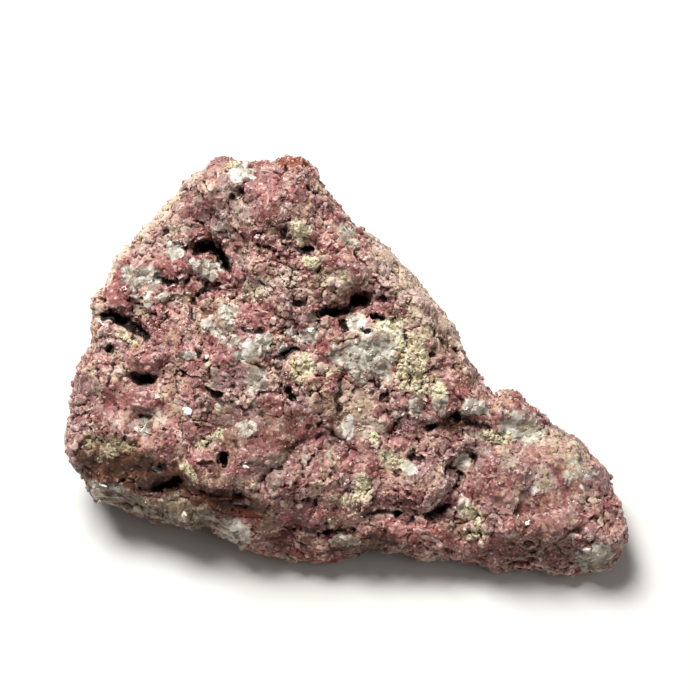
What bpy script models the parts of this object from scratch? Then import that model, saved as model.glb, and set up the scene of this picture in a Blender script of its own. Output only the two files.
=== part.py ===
"""Piemontite specimen: one hand-sized broken stone of rose-red piemontite rock.

The stone lies on a flat break in its base. It is laid out in a leaning frame, in
millimetres: right (+X), up (along the show face, rising towards the back) and out
(square to the girdle, towards whoever looks at the show face). The girdle is the
stone's outline seen square-on. In front of it is the rough show face with its vugs,
lumps and clefts; behind it are the back walls, the under-bevels and the base.
"""

import math
from dataclasses import dataclass

import bmesh
import bpy
import numpy as np
from mathutils import Matrix, Vector, noise

MM = 0.001

NAME = "piemontite_stone"
ROSE = (0.43, 0.20, 0.17, 1.0)

FACE_ELEVATION = math.radians(58.0)  # how steeply the girdle's normal points upwards
GIRDLE_OUT = 21.0  # mm from the floor under the middle of the girdle, along its normal
GIRDLE_LIP = 1.0  # mm of upright edge left on each side of the girdle
THIN_HALF = 0.8  # mm that each side keeps off the girdle's plane, apart from the vugs
FRONT_ROUNDING = 9.0  # mm radius with which the show face turns over at the girdle
BACK_ROUNDING = 15.0  # mm radius with which the hidden side turns over there

SLAB_HALF = 4.0  # mm: half the thickness of the slab that the stone is pressed from
SLAB_GRAIN = 0.9  # mm between the points of that slab
STONE_GRAIN = 0.85  # mm between the points of the stone while it is shaped
MOST_TRIANGLES = 9400
BASE_SNAP = 0.2  # mm: what lies nearer to the floor than this is part of the flat base

# The girdle, as (right, up) in mm, clockwise from the left summit.
GIRDLE = (
    (-19.0, 31.6), (-15.7, 30.6), (-13.6, 29.9), (-11.8, 30.9), (-9.0, 31.3),
    (-6.3, 31.1), (-5.0, 29.5), (-3.0, 26.3), (-0.5, 23.1), (1.8, 20.9),
    (3.9, 19.7), (6.4, 17.9), (8.2, 15.6), (10.1, 13.3), (12.6, 10.1),
    (14.6, 7.4), (16.3, 5.6), (17.4, 3.2), (19.2, -0.7), (20.5, -2.8),
    (21.9, -4.6), (22.6, -4.8), (23.3, -3.7), (24.6, -3.3), (25.8, -4.1),
    (28.0, -6.3), (31.0, -8.6), (33.1, -9.7), (35.4, -11.4), (37.6, -14.1),
    (39.2, -16.6), (40.1, -19.3), (41.1, -21.9), (41.9, -22.8), (42.1, -24.2),
    (41.7, -26.8), (40.3, -29.1), (37.4, -31.3), (33.6, -31.5), (30.6, -31.8),
    (29.2, -30.6), (25.4, -30.5), (21.9, -30.2), (17.8, -29.2), (14.3, -28.5),
    (12.4, -29.5), (10.6, -28.6), (7.6, -27.5), (4.8, -27.2), (1.2, -28.1),
    (-2.3, -29.2), (-5.4, -30.1), (-7.6, -29.1), (-10.8, -28.7), (-14.5, -28.1),
    (-17.0, -26.5), (-18.6, -25.7), (-19.4, -23.9), (-20.4, -23.4), (-22.4, -24.0),
    (-26.0, -23.8), (-28.9, -23.3), (-30.7, -23.0), (-32.1, -21.9), (-33.4, -20.9),
    (-35.8, -20.3), (-37.8, -20.0), (-38.4, -18.3), (-38.7, -17.2), (-40.2, -15.9),
    (-41.7, -13.9), (-42.1, -11.5), (-42.1, -8.6), (-41.5, -6.2), (-40.7, -3.3),
    (-40.6, -0.9), (-39.2, 1.4), (-38.0, 3.1), (-38.2, 6.4), (-37.5, 10.3),
    (-35.9, 12.9), (-35.0, 16.0), (-32.6, 18.9), (-29.3, 21.6), (-27.2, 24.2),
    (-24.3, 27.3), (-21.1, 30.2),
)


@dataclass(frozen=True)
class Facet:
    """A plane of the stone: it passes through one point and climbs outwards to the right and up."""

    at: tuple  # (right, up, out) in mm
    climb_right: float  # mm out for each mm to the right
    climb_up: float  # mm out for each mm up

    def out(self, right, up):
        return self.at[2] + self.climb_right * (right - self.at[0]) + self.climb_up * (up - self.at[1])


@dataclass(frozen=True)
class Spot:
    """An oval lump, or an oval pit where its height is negative, on the show face or behind it."""

    at: tuple  # (right, up) in mm
    radii: tuple  # mm along and across
    height: float  # mm
    turn: float = 0.0  # degrees anticlockwise from right

    def share(self, right, up):
        """1 at the middle of the oval, falling to 0 at its edge and staying there."""
        along = math.radians(self.turn)
        x, y = right - self.at[0], up - self.at[1]
        a = (x * math.cos(along) + y * math.sin(along)) / self.radii[0]
        b = (y * math.cos(along) - x * math.sin(along)) / self.radii[1]
        return np.clip(1.0 - a * a - b * b, 0.0, 1.0)


@dataclass(frozen=True)
class Cleft:
    """A groove that follows a broken line across the show face."""

    line: tuple  # (right, up) points in mm
    half_width: float
    depth: float


FLOOR_CLIMB = -1.0 / math.tan(FACE_ELEVATION)  # a level plane, seen in the leaning frame
WALL_CLIMB = math.tan(FACE_ELEVATION)  # an upright plane, seen in the leaning frame

BODY_FACETS = (
    Facet((-10.0, 5.0, 6.4), 0.02, -0.20),  # the broad show face
    Facet((-30.0, 0.0, 6.6), 0.22, -0.10),  # its left side, turning away
    Facet((9.0, 12.0, 3.4), -0.55, -0.42),  # the bevel along the right edge
    Facet((-2.0, 20.0, 3.6), -0.50, -0.16),  # the short bevel below the right summit
    Facet((0.0, -20.0, 9.2), 0.10, 0.90),  # the front flank
    Facet((-30.0, -14.6, 8.0), 0.35, 0.85),  # the flank under the left ridge
    Facet((17.6, -12.0, 5.2), -1.10, 0.25),  # the end that faces the lobe
)
LOBE_FACETS = (
    Facet((27.0, -16.0, 6.8), -0.10, -0.12),  # the lobe's top
    Facet((36.0, -14.0, 4.2), -0.62, -0.42),  # its far end
    Facet((26.0, -7.5, 3.4), -0.12, -0.62),  # its shoulder under the small knob
    Facet((27.0, -25.5, 6.4), 0.0, 0.85),  # its flank
    Facet((17.2, -18.0, 3.2), 0.95, -0.15),  # the end that faces the body
)
STEP_FACETS = (
    Facet((6.0, -24.5, 5.2), 0.02, 1.05),  # the low step in front of the cleft
    Facet((6.0, -22.5, 5.6), 0.03, 0.10),
    Facet((16.5, -24.0, 5.0), -0.50, 0.30),
    Facet((-4.0, -24.0, 5.0), 0.60, 0.20),
)
BACK_FACETS = (
    Facet((0.0, 0.0, -GIRDLE_OUT - 1.2), 0.0, FLOOR_CLIMB),  # the base, left a little deep
    Facet((-12.0, 31.5, -2.5), 0.15, 0.92 * WALL_CLIMB),  # the back wall
    Facet((-32.0, 14.0, -7.0), -1.55, 0.85 * WALL_CLIMB),  # the back left wall
    Facet((9.0, 11.0, -9.0), 1.25, 0.80 * WALL_CLIMB),  # the back right wall
    Facet((34.0, -14.0, -9.5), 1.50, 0.70 * WALL_CLIMB),  # the wall behind the lobe
    Facet((-29.0, -10.0, -16.2), -0.62, FLOOR_CLIMB),  # the left under-bevel
    Facet((31.0, -20.0, -9.2), 0.50, FLOOR_CLIMB),  # the right under-bevel
    Facet((-16.0, -20.0, -8.8), -0.15, 1.5 * FLOOR_CLIMB),  # the front under-bevel
)

LUMPS = (
    Spot((-28.0, 12.6), (5.4, 5.4), 1.5),  # the rose lump between the two left vugs
    Spot((-24.6, 16.4), (4.6, 4.0), 1.3, 30.0),
    Spot((-19.6, 16.8), (2.2, 1.4), 0.8, -30.0),
    Spot((-24.0, 6.6), (4.0, 3.6), 1.0),
    Spot((-29.4, 1.2), (3.4, 2.0), 1.5, -12.0),
    Spot((-24.2, 1.8), (3.0, 2.4), 1.0),
    Spot((-29.4, -4.6), (3.8, 1.4), 1.5, 6.0),  # the long crystal
    Spot((-36.0, -1.2), (3.4, 3.6), 1.0, 50.0),
    Spot((-35.2, -8.2), (4.6, 3.0), 0.9, -10.0),
    Spot((-27.6, -10.4), (4.0, 2.6), 0.7, -10.0),
    Spot((-19.4, 6.4), (3.4, 3.0), 0.9),
    Spot((-19.0, 1.6), (3.2, 2.4), 1.0, 10.0),
    Spot((-13.6, 3.0), (3.4, 3.0), 1.3, -12.0),
    Spot((-12.6, -2.6), (2.6, 2.2), 0.8),
    Spot((-6.4, 0.0), (3.2, 3.4), 1.5),
    Spot((-2.0, 3.6), (2.6, 2.4), 1.0),
    Spot((-1.8, -4.4), (2.4, 3.6), 1.3, 10.0),
    Spot((3.6, 2.6), (5.4, 4.4), 1.3, 8.0),
    Spot((10.2, 1.6), (3.0, 3.4), 0.9),
    Spot((4.4, -6.0), (4.0, 3.6), 0.9),
    Spot((6.4, -12.6), (4.4, 3.0), 0.9, 10.0),
    Spot((10.6, -17.4), (5.6, 4.4), 2.0, -10.0),  # the rounded body end
    Spot((2.6, -17.6), (3.4, 2.8), 0.9),
    Spot((-12.0, 25.6), (2.2, 4.6), 1.3, 4.0),  # the deep rose streak under the right summit
    Spot((-7.4, 24.0), (2.4, 3.4), 1.0),
    Spot((-19.6, 27.4), (3.2, 3.6), 1.1, 40.0),
    Spot((-15.6, 28.6), (2.2, 1.8), 1.0),
    Spot((-7.0, 30.0), (3.0, 2.0), 1.2),
    Spot((-24.8, 22.0), (4.0, 2.6), 0.9, 40.0),
    Spot((-16.0, 20.8), (3.4, 2.4), 0.8),
    Spot((-6.6, 20.2), (2.0, 2.2), 1.3, 60.0),  # the yellow-green grains
    Spot((-4.6, 15.6), (2.0, 1.7), 1.1),
    Spot((-13.0, 14.6), (4.0, 2.4), 1.1, 35.0),
    Spot((-10.4, 8.6), (3.2, 2.6), 0.9, -10.0),
    Spot((-4.6, 7.4), (2.8, 2.0), 1.1),
    Spot((1.6, 14.4), (4.0, 3.0), 0.8, -40.0),
    Spot((8.6, 9.6), (3.0, 2.2), 0.9, -40.0),
    Spot((13.4, 5.0), (2.6, 2.2), 0.9),
    Spot((14.6, -0.6), (2.4, 2.6), 1.0),
    Spot((18.6, -3.4), (2.2, 2.2), 1.3, -30.0),
    Spot((9.8, -5.6), (2.2, 2.2), 0.9),
    Spot((13.4, -4.8), (1.9, 2.2), 1.0),
    Spot((18.2, -6.0), (2.8, 1.8), 1.1, 20.0),
    Spot((26.6, -7.4), (4.4, 2.6), 1.1, -25.0),
    Spot((-12.6, -11.2), (5.2, 4.4), 1.3, 8.0),
    Spot((-21.0, -8.6), (3.6, 2.6), 0.7),
    Spot((-18.6, -15.8), (4.4, 1.8), 1.2, -6.0),
    Spot((-34.8, -18.4), (3.8, 2.2), 1.4, -12.0),  # pale masses along the low front edge
    Spot((-25.0, -21.4), (6.0, 2.2), 1.4, -8.0),
    Spot((-15.4, -24.6), (3.6, 2.4), 1.7, -20.0),
    Spot((-5.0, -26.4), (5.4, 2.2), 1.1, 4.0),
    Spot((2.4, -25.6), (3.2, 1.2), 1.2, 14.0),
    Spot((12.6, -24.6), (4.6, 2.0), 1.2, -14.0),
    Spot((22.6, -15.6), (5.0, 4.6), 1.5),  # the lobe's bulge
    Spot((30.4, -14.4), (4.2, 3.6), 0.8),
    Spot((26.6, -24.6), (6.0, 2.6), 1.1, 4.0),
    Spot((18.2, -20.6), (2.2, 3.0), 1.2, 30.0),
    Spot((36.8, -26.4), (3.8, 3.0), 1.2, 30.0),
    Spot((35.0, -19.6), (3.2, 3.6), 0.8, -30.0),
)
VUGS = (
    Spot((-20.8, 17.9), (2.3, 1.2), -6.0, -5.0),
    Spot((-18.3, 15.8), (2.3, 1.2), -6.0, -55.0),
    Spot((-34.4, 7.2), (2.5, 1.2), -5.0, -15.0),
    Spot((-30.8, 5.5), (2.2, 0.9), -2.8, -32.0),
    Spot((-35.0, 2.6), (1.1, 0.9), -2.6, 50.0),
    Spot((-30.3, -1.6), (2.2, 1.1), -5.5, -6.0),
    Spot((-26.0, 12.4), (2.6, 0.8), -1.4, -8.0),
    Spot((-20.4, 11.8), (2.2, 1.0), -1.2, -14.0),
    Spot((-9.2, 19.4), (1.0, 0.8), -1.6, -30.0),
    Spot((-6.0, 17.4), (1.5, 0.9), -2.6, -10.0),
    Spot((1.9, 10.0), (1.9, 1.3), -6.0),
    Spot((-2.5, 8.1), (1.7, 1.1), -4.5, -5.0),
    Spot((0.2, 7.0), (2.2, 1.7), -1.6),
    Spot((-7.0, 9.6), (1.1, 0.8), -2.2, 10.0),
    Spot((2.3, 5.4), (1.0, 0.9), -2.6),
    Spot((5.4, 7.4), (1.8, 0.8), -1.2, -10.0),
    Spot((-9.8, 1.5), (1.9, 0.8), -2.2, 30.0),
    Spot((-8.5, -3.8), (1.0, 1.0), -2.6),
    Spot((-17.9, -13.5), (0.9, 1.2), -2.8),
    Spot((-30.0, -7.6), (1.4, 0.8), -1.4),
    Spot((-26.5, -17.2), (3.0, 1.2), -3.4, 18.0),
    Spot((-19.0, -18.4), (4.0, 0.9), -1.2, -4.0),
    Spot((12.5, -8.8), (1.2, 1.0), -3.8),
    Spot((10.2, -13.4), (1.2, 0.8), -1.6, -10.0),
    Spot((18.1, -13.6), (1.0, 1.2), -1.8, 20.0),
    Spot((-16.4, 25.4), (1.4, 1.0), -1.8),
    Spot((-14.0, 9.4), (2.0, 1.0), -1.0, 30.0),
)
CLEFTS = (
    Cleft(((22.6, -4.4), (20.6, -7.4), (18.4, -9.2), (16.0, -9.4), (13.8, -8.8)), 1.1, 1.5),
    Cleft(((18.0, -12.9), (16.6, -15.2), (16.0, -17.8), (14.8, -20.0), (12.8, -21.4), (10.6, -21.9)), 1.1, 1.8),
    Cleft(((7.0, -22.5), (4.2, -22.3), (2.0, -22.0)), 1.0, 1.4),
    Cleft(((-13.4, -18.0), (-12.7, -16.4), (-9.2, -14.0), (-8.0, -12.0), (-6.3, -10.4), (-1.2, -10.0)), 1.0, 1.0),
    Cleft(((-0.6, -1.2), (-1.2, -3.8), (-1.4, -6.9)), 1.0, 1.1),
    Cleft(((-20.4, -1.0), (-19.4, -3.6), (-16.6, -5.4)), 0.9, 1.0),
    Cleft(((-25.0, -17.9), (-19.8, -18.3), (-13.4, -18.2)), 1.0, 1.2),
    Cleft(((-0.3, -24.5), (2.3, -25.7)), 1.0, 1.2),
    Cleft(((19.0, -9.4), (23.4, -9.0), (26.0, -10.4)), 0.9, 1.0),
    Cleft(((4.6, 7.0), (9.4, 8.6), (12.6, 6.6)), 0.9, 0.7),
)
BACK_SPOTS = (  # behind, a lump is a positive depth and a vug a negative one
    Spot((-24.0, 17.0), (5.0, 3.4), 2.6, 50.0),
    Spot((-8.0, 24.0), (4.4, 3.2), 2.2),
    Spot((6.0, 9.0), (4.2, 3.4), 2.0, -40.0),
    Spot((-34.0, -2.0), (4.4, 3.4), 1.8, 70.0),
    Spot((24.0, -12.0), (4.0, 3.0), 1.8, -30.0),
    Spot((-15.0, 22.0), (2.4, 1.8), -4.0, 20.0),
    Spot((0.0, 17.0), (2.2, 1.6), -3.6, -30.0),
    Spot((-31.0, 10.0), (2.0, 1.6), -3.4, 60.0),
    Spot((30.0, -13.0), (2.0, 1.4), -3.0, -40.0),
    Spot((20.6, -6.6), (3.6, 3.2), -5.0, -40.0),
)

FACE_WAVES = (  # (mm between waves, mm high) of the show face's unevenness
    (9.0, 0.5),
    (4.5, 0.9),
)
BACK_WAVES = ((17.0, 1.7), (7.5, 0.8))
WARP_WAVES = ((13.0, 2.6), (6.0, 1.0))  # how far the hidden side strays from under the girdle
WARP_FADE = 6.5  # mm behind the girdle at which it strays fully
KNOBBLE_SPACING = 3.5  # mm between the knobbles all over the stone
KNOBBLE_HEIGHT = 1.0
ROUGH_SPACING = 2.0
ROUGH_HEIGHT = 0.7
EDGE_CARE = 0.8  # mm in from the girdle, and
GIRDLE_CARE = 2.6  # mm off its plane, within which roughness may not move its line


def soft_least(heights, softness):
    """The least of several heights, rounded over where they cross."""
    return -softness * np.log(sum(np.exp(-h / softness) for h in heights))


def smooth_step(share):
    share = np.clip(share, 0.0, 1.0)
    return share * share * (3.0 - 2.0 * share)


def line_distance(places, line, closed=False):
    """How far each place (right, up) lies from a broken line."""
    points = np.array(line + line[:1] if closed else line, float)
    nearest = np.full(len(places), np.inf)
    for start, end in zip(points, points[1:]):
        along = end - start
        share = np.clip((places - start) @ along / (along @ along), 0.0, 1.0)
        nearest = np.minimum(nearest, np.linalg.norm(places - start - share[:, None] * along, axis=1))
    return nearest


def waves(points, bands, seed):
    """Smooth unevenness, in mm, at each point."""
    total = np.zeros(len(points))
    for spacing, height in bands:
        shifted = points / spacing + seed
        total += height * np.array([noise.noise(Vector(p)) for p in shifted])
    return total


def rounding(distance, radius):
    """How far the surface may stand off the girdle's plane at a distance in from the girdle."""
    return GIRDLE_LIP + np.sqrt(2.0 * radius * distance)


def front_out(right, up, distance):
    """The show face's height in front of the girdle's plane."""
    places = np.column_stack([right, up])
    body = soft_least([f.out(right, up) for f in BODY_FACETS], 0.5)
    lobe = soft_least([f.out(right, up) for f in LOBE_FACETS], 0.6)
    step = soft_least([f.out(right, up) for f in STEP_FACETS], 0.5)
    out = np.maximum(np.maximum(body, lobe), step)
    out += waves(np.column_stack([right, up, np.zeros(len(right))]), FACE_WAVES, 3.7)
    for lump in LUMPS:
        out += lump.height * smooth_step(1.5 * lump.share(right, up))
    for cleft in CLEFTS:
        out -= cleft.depth * smooth_step(1.0 - line_distance(places, cleft.line) / cleft.half_width)
    out = np.maximum(out, THIN_HALF)
    for vug in VUGS:
        out += vug.height * smooth_step(2.2 * vug.share(right, up))
    return soft_least([out, rounding(distance, FRONT_ROUNDING)], 0.5)


def back_out(right, up, distance):
    """The hidden side's depth behind the girdle's plane, as a negative height."""
    depth = soft_least([-f.out(right, up) for f in BACK_FACETS], 0.9)
    depth += waves(np.column_stack([right, up, np.full(len(right), 9.0)]), BACK_WAVES, 8.2)
    for spot in BACK_SPOTS:
        depth += spot.height * smooth_step(1.8 * spot.share(right, up))
    return -soft_least([np.maximum(depth, THIN_HALF), rounding(distance, BACK_ROUNDING)], 0.8)


def evaluated_mesh(obj):
    """A new mesh of the object with its modifiers applied."""
    graph = bpy.context.evaluated_depsgraph_get()
    return bpy.data.meshes.new_from_object(obj.evaluated_get(graph), depsgraph=graph)


def apply_modifier(obj, kind, **settings):
    modifier = obj.modifiers.new(kind.title(), kind)
    for name, value in settings.items():
        setattr(modifier, name, value)
    old, obj.data = obj.data, evaluated_mesh(obj)
    obj.modifiers.clear()
    bpy.data.meshes.remove(old)


def points_of(obj):
    points = np.empty(len(obj.data.vertices) * 3)
    obj.data.vertices.foreach_get("co", points)
    return points.reshape(-1, 3) / MM


def move_points(obj, points):
    obj.data.vertices.foreach_set("co", (points * MM).ravel())
    obj.data.update()


def girdle_slab(collection):
    """A flat slab with the girdle's outline, evenly meshed, as the blank for the stone."""
    curve = bpy.data.curves.new("girdle", "CURVE")
    curve.dimensions = "2D"
    curve.fill_mode = "BOTH"
    curve.extrude = SLAB_HALF * MM
    spline = curve.splines.new("POLY")
    spline.points.add(len(GIRDLE) - 1)
    for point, (right, up) in zip(spline.points, GIRDLE):
        point.co = (right * MM, up * MM, 0.0, 1.0)
    spline.use_cyclic_u = True
    drawn = bpy.data.objects.new("girdle", curve)
    collection.objects.link(drawn)
    mesh = evaluated_mesh(drawn)
    bpy.data.objects.remove(drawn)
    shape = bmesh.new()
    shape.from_mesh(mesh)
    bmesh.ops.remove_doubles(shape, verts=shape.verts, dist=0.01 * MM)
    bmesh.ops.recalc_face_normals(shape, faces=shape.faces)
    shape.to_mesh(mesh)
    shape.free()
    stone = bpy.data.objects.new(NAME, mesh)
    collection.objects.link(stone)
    apply_modifier(stone, "REMESH", mode="VOXEL", voxel_size=SLAB_GRAIN * MM)
    return stone


def press(stone):
    """Presses the slab's two sides out to the show face and back to the hidden side."""
    points = points_of(stone)
    right, up = points[:, 0], points[:, 1]
    side = np.clip(points[:, 2] / SLAB_HALF, -1.0, 1.0)
    distance = line_distance(points[:, :2], GIRDLE, closed=True)
    front = front_out(right, up, distance)
    back = back_out(right, up, distance)
    points[:, 2] = np.where(side > 0.0, side * front, -side * back)
    hidden = smooth_step(-points[:, 2] / WARP_FADE)
    for axis in (0, 1):
        points[:, axis] += hidden * waves(points, WARP_WAVES, 20.0 + 5.0 * axis)
    move_points(stone, points)
    apply_modifier(stone, "REMESH", mode="VOXEL", voxel_size=STONE_GRAIN * MM)
    apply_modifier(stone, "SMOOTH", factor=0.4, iterations=1)


def roughen(stone):
    """Breaks the surface into knobbles and small rough bumps, and leaves the girdle's line alone."""
    points = points_of(stone)
    normals = np.empty(len(points) * 3)
    stone.data.vertices.foreach_get("normal", normals)
    normals = normals.reshape(-1, 3)
    lift = np.zeros(len(points))
    for i, p in enumerate(points):
        near, next_near = noise.voronoi(Vector(p) / KNOBBLE_SPACING)[0][:2]
        lift[i] = KNOBBLE_HEIGHT * (min(1.0, 2.2 * (next_near - near)) - 0.6)
    lift += waves(points, ((ROUGH_SPACING, ROUGH_HEIGHT),), 5.1)
    distance = line_distance(points[:, :2], GIRDLE, closed=True)
    inside = smooth_step(np.hypot(distance / EDGE_CARE, points[:, 2] / GIRDLE_CARE))
    care = np.column_stack([inside, inside, np.ones(len(points))])
    move_points(stone, points + normals * lift[:, None] * care)


def stand_on_floor(stone):
    """Turns the stone out of its leaning frame and breaks off all that would be under the floor."""
    lean = Matrix.Rotation(math.pi / 2 - FACE_ELEVATION, 4, "X")
    rise = Matrix.Translation((0.0, 0.0, GIRDLE_OUT * MM))
    stone.data.transform(lean @ rise)
    points = points_of(stone)
    points[:, 2] = np.maximum(points[:, 2], 0.0)
    move_points(stone, points)
    apply_modifier(stone, "REMESH", mode="VOXEL", voxel_size=STONE_GRAIN * MM)


def settle(stone):
    """Makes the base exactly flat and centres the stone on the floor."""
    points = points_of(stone)
    points[points[:, 2] < BASE_SNAP, 2] = 0.0
    middle = (points.min(axis=0) + points.max(axis=0)) / 2
    move_points(stone, points - [middle[0], middle[1], 0.0])


def rose_rock():
    material = bpy.data.materials.new("rose_rock")
    material.use_nodes = True
    shader = material.node_tree.nodes["Principled BSDF"]
    shader.inputs["Base Color"].default_value = ROSE
    shader.inputs["Roughness"].default_value = 0.7
    material.diffuse_color = ROSE
    return material


def main():
    for old in list(bpy.data.objects):
        bpy.data.objects.remove(old)
    specimen = bpy.data.collections.new("piemontite_specimen")
    bpy.context.scene.collection.children.link(specimen)
    stone = girdle_slab(specimen)
    press(stone)
    roughen(stone)
    stand_on_floor(stone)
    apply_modifier(stone, "TRIANGULATE")
    apply_modifier(stone, "DECIMATE", ratio=min(1.0, MOST_TRIANGLES / len(stone.data.polygons)))
    settle(stone)
    stone.data.materials.append(rose_rock())


main()
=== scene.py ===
"""The looks of a palm-sized piemontite specimen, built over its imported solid.

The stone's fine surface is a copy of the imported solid, meshed finely and broken into
vugs, clefts, clumps and sugary grains. On it grow separate crusts of grains: cloudy
quartz, deep rose piemontite, yellow-green epidote, white flakes and two kinds of
sugary grit. Places on the show face are given in its leaning frame, in millimetres:
right, up along the face, and out of it.
"""

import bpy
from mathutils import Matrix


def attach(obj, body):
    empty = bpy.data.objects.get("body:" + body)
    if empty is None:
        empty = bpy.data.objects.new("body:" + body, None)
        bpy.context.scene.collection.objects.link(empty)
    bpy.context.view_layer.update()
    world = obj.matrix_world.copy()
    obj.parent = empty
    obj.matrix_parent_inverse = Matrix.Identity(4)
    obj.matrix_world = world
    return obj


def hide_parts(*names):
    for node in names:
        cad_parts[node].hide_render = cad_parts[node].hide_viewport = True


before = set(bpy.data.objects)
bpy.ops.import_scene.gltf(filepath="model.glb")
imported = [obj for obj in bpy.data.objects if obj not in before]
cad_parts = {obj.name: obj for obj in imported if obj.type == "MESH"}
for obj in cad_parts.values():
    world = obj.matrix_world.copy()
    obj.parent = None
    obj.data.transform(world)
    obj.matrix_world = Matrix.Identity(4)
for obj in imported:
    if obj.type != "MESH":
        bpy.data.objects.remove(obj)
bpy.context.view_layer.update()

import logging  # noqa: E402
import math  # noqa: E402
from collections.abc import Callable, Iterable, Iterator, Sequence  # noqa: E402
from dataclasses import dataclass, field, replace  # noqa: E402
from enum import Enum  # noqa: E402

import bpy  # noqa: E402
import numpy as np  # noqa: E402
from mathutils import Vector  # noqa: E402
from mathutils.bvhtree import BVHTree  # noqa: E402

log = logging.getLogger("piemontite")

MM = 0.001
STONE_NODE = "piemontite_stone"
BODY = "root"

FINE_RELIEF = 0.10
BROAD_RELIEF = 0.45

Colour = tuple[float, float, float]
Pair = tuple[float, float]


# --------------------------------------------------------------------------- materials


class Wire:
    """A socket in a material's node graph that takes part in Python expressions."""

    def __init__(self, graph: "Graph", socket: bpy.types.NodeSocket) -> None:
        """Wraps a socket.

        Args:
            graph: The graph that the socket belongs to.
            socket: The output socket.
        """
        self.graph = graph
        self.socket = socket

    def _math(self, operation: str, first: "Wire | float", second: "Wire | float") -> "Wire":
        """Adds one Math node.

        Args:
            operation: The node's operation.
            first: Its first operand.
            second: Its second operand.

        Returns:
            The node's result.
        """
        return self.graph.add("ShaderNodeMath", {"operation": operation}, {0: first, 1: second})

    def __add__(self, other: "Wire | float") -> "Wire":
        """The sum."""
        return self._math("ADD", self, other)

    __radd__ = __add__

    def __sub__(self, other: "Wire | float") -> "Wire":
        """The difference."""
        return self._math("SUBTRACT", self, other)

    def __rsub__(self, other: "Wire | float") -> "Wire":
        """The difference, with this on the right."""
        return self._math("SUBTRACT", other, self)

    def __mul__(self, other: "Wire | float") -> "Wire":
        """The product."""
        return self._math("MULTIPLY", self, other)

    __rmul__ = __mul__

    def swing(self, amount: float) -> "Wire":
        """How far this is above its middle, a half, times an amount."""
        return (self - 0.5) * amount

    def rise(self, low: float, high: float) -> "Wire":
        """A smooth step.

        Args:
            low: The value up to which the result is 0.
            high: The value from which it is 1.

        Returns:
            The step, between 0 and 1.
        """
        settings = {"interpolation_type": "SMOOTHSTEP"}
        values = {"Value": self, "From Min": low, "From Max": high}
        return self.graph.add("ShaderNodeMapRange", settings, values)

    def channels(self) -> "tuple[Wire, Wire, Wire]":
        """The red, green and blue parts of a colour."""
        node = self.graph.node("ShaderNodeSeparateColor", {}, {0: self})
        return tuple(Wire(self.graph, node.outputs[i]) for i in range(3))


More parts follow.
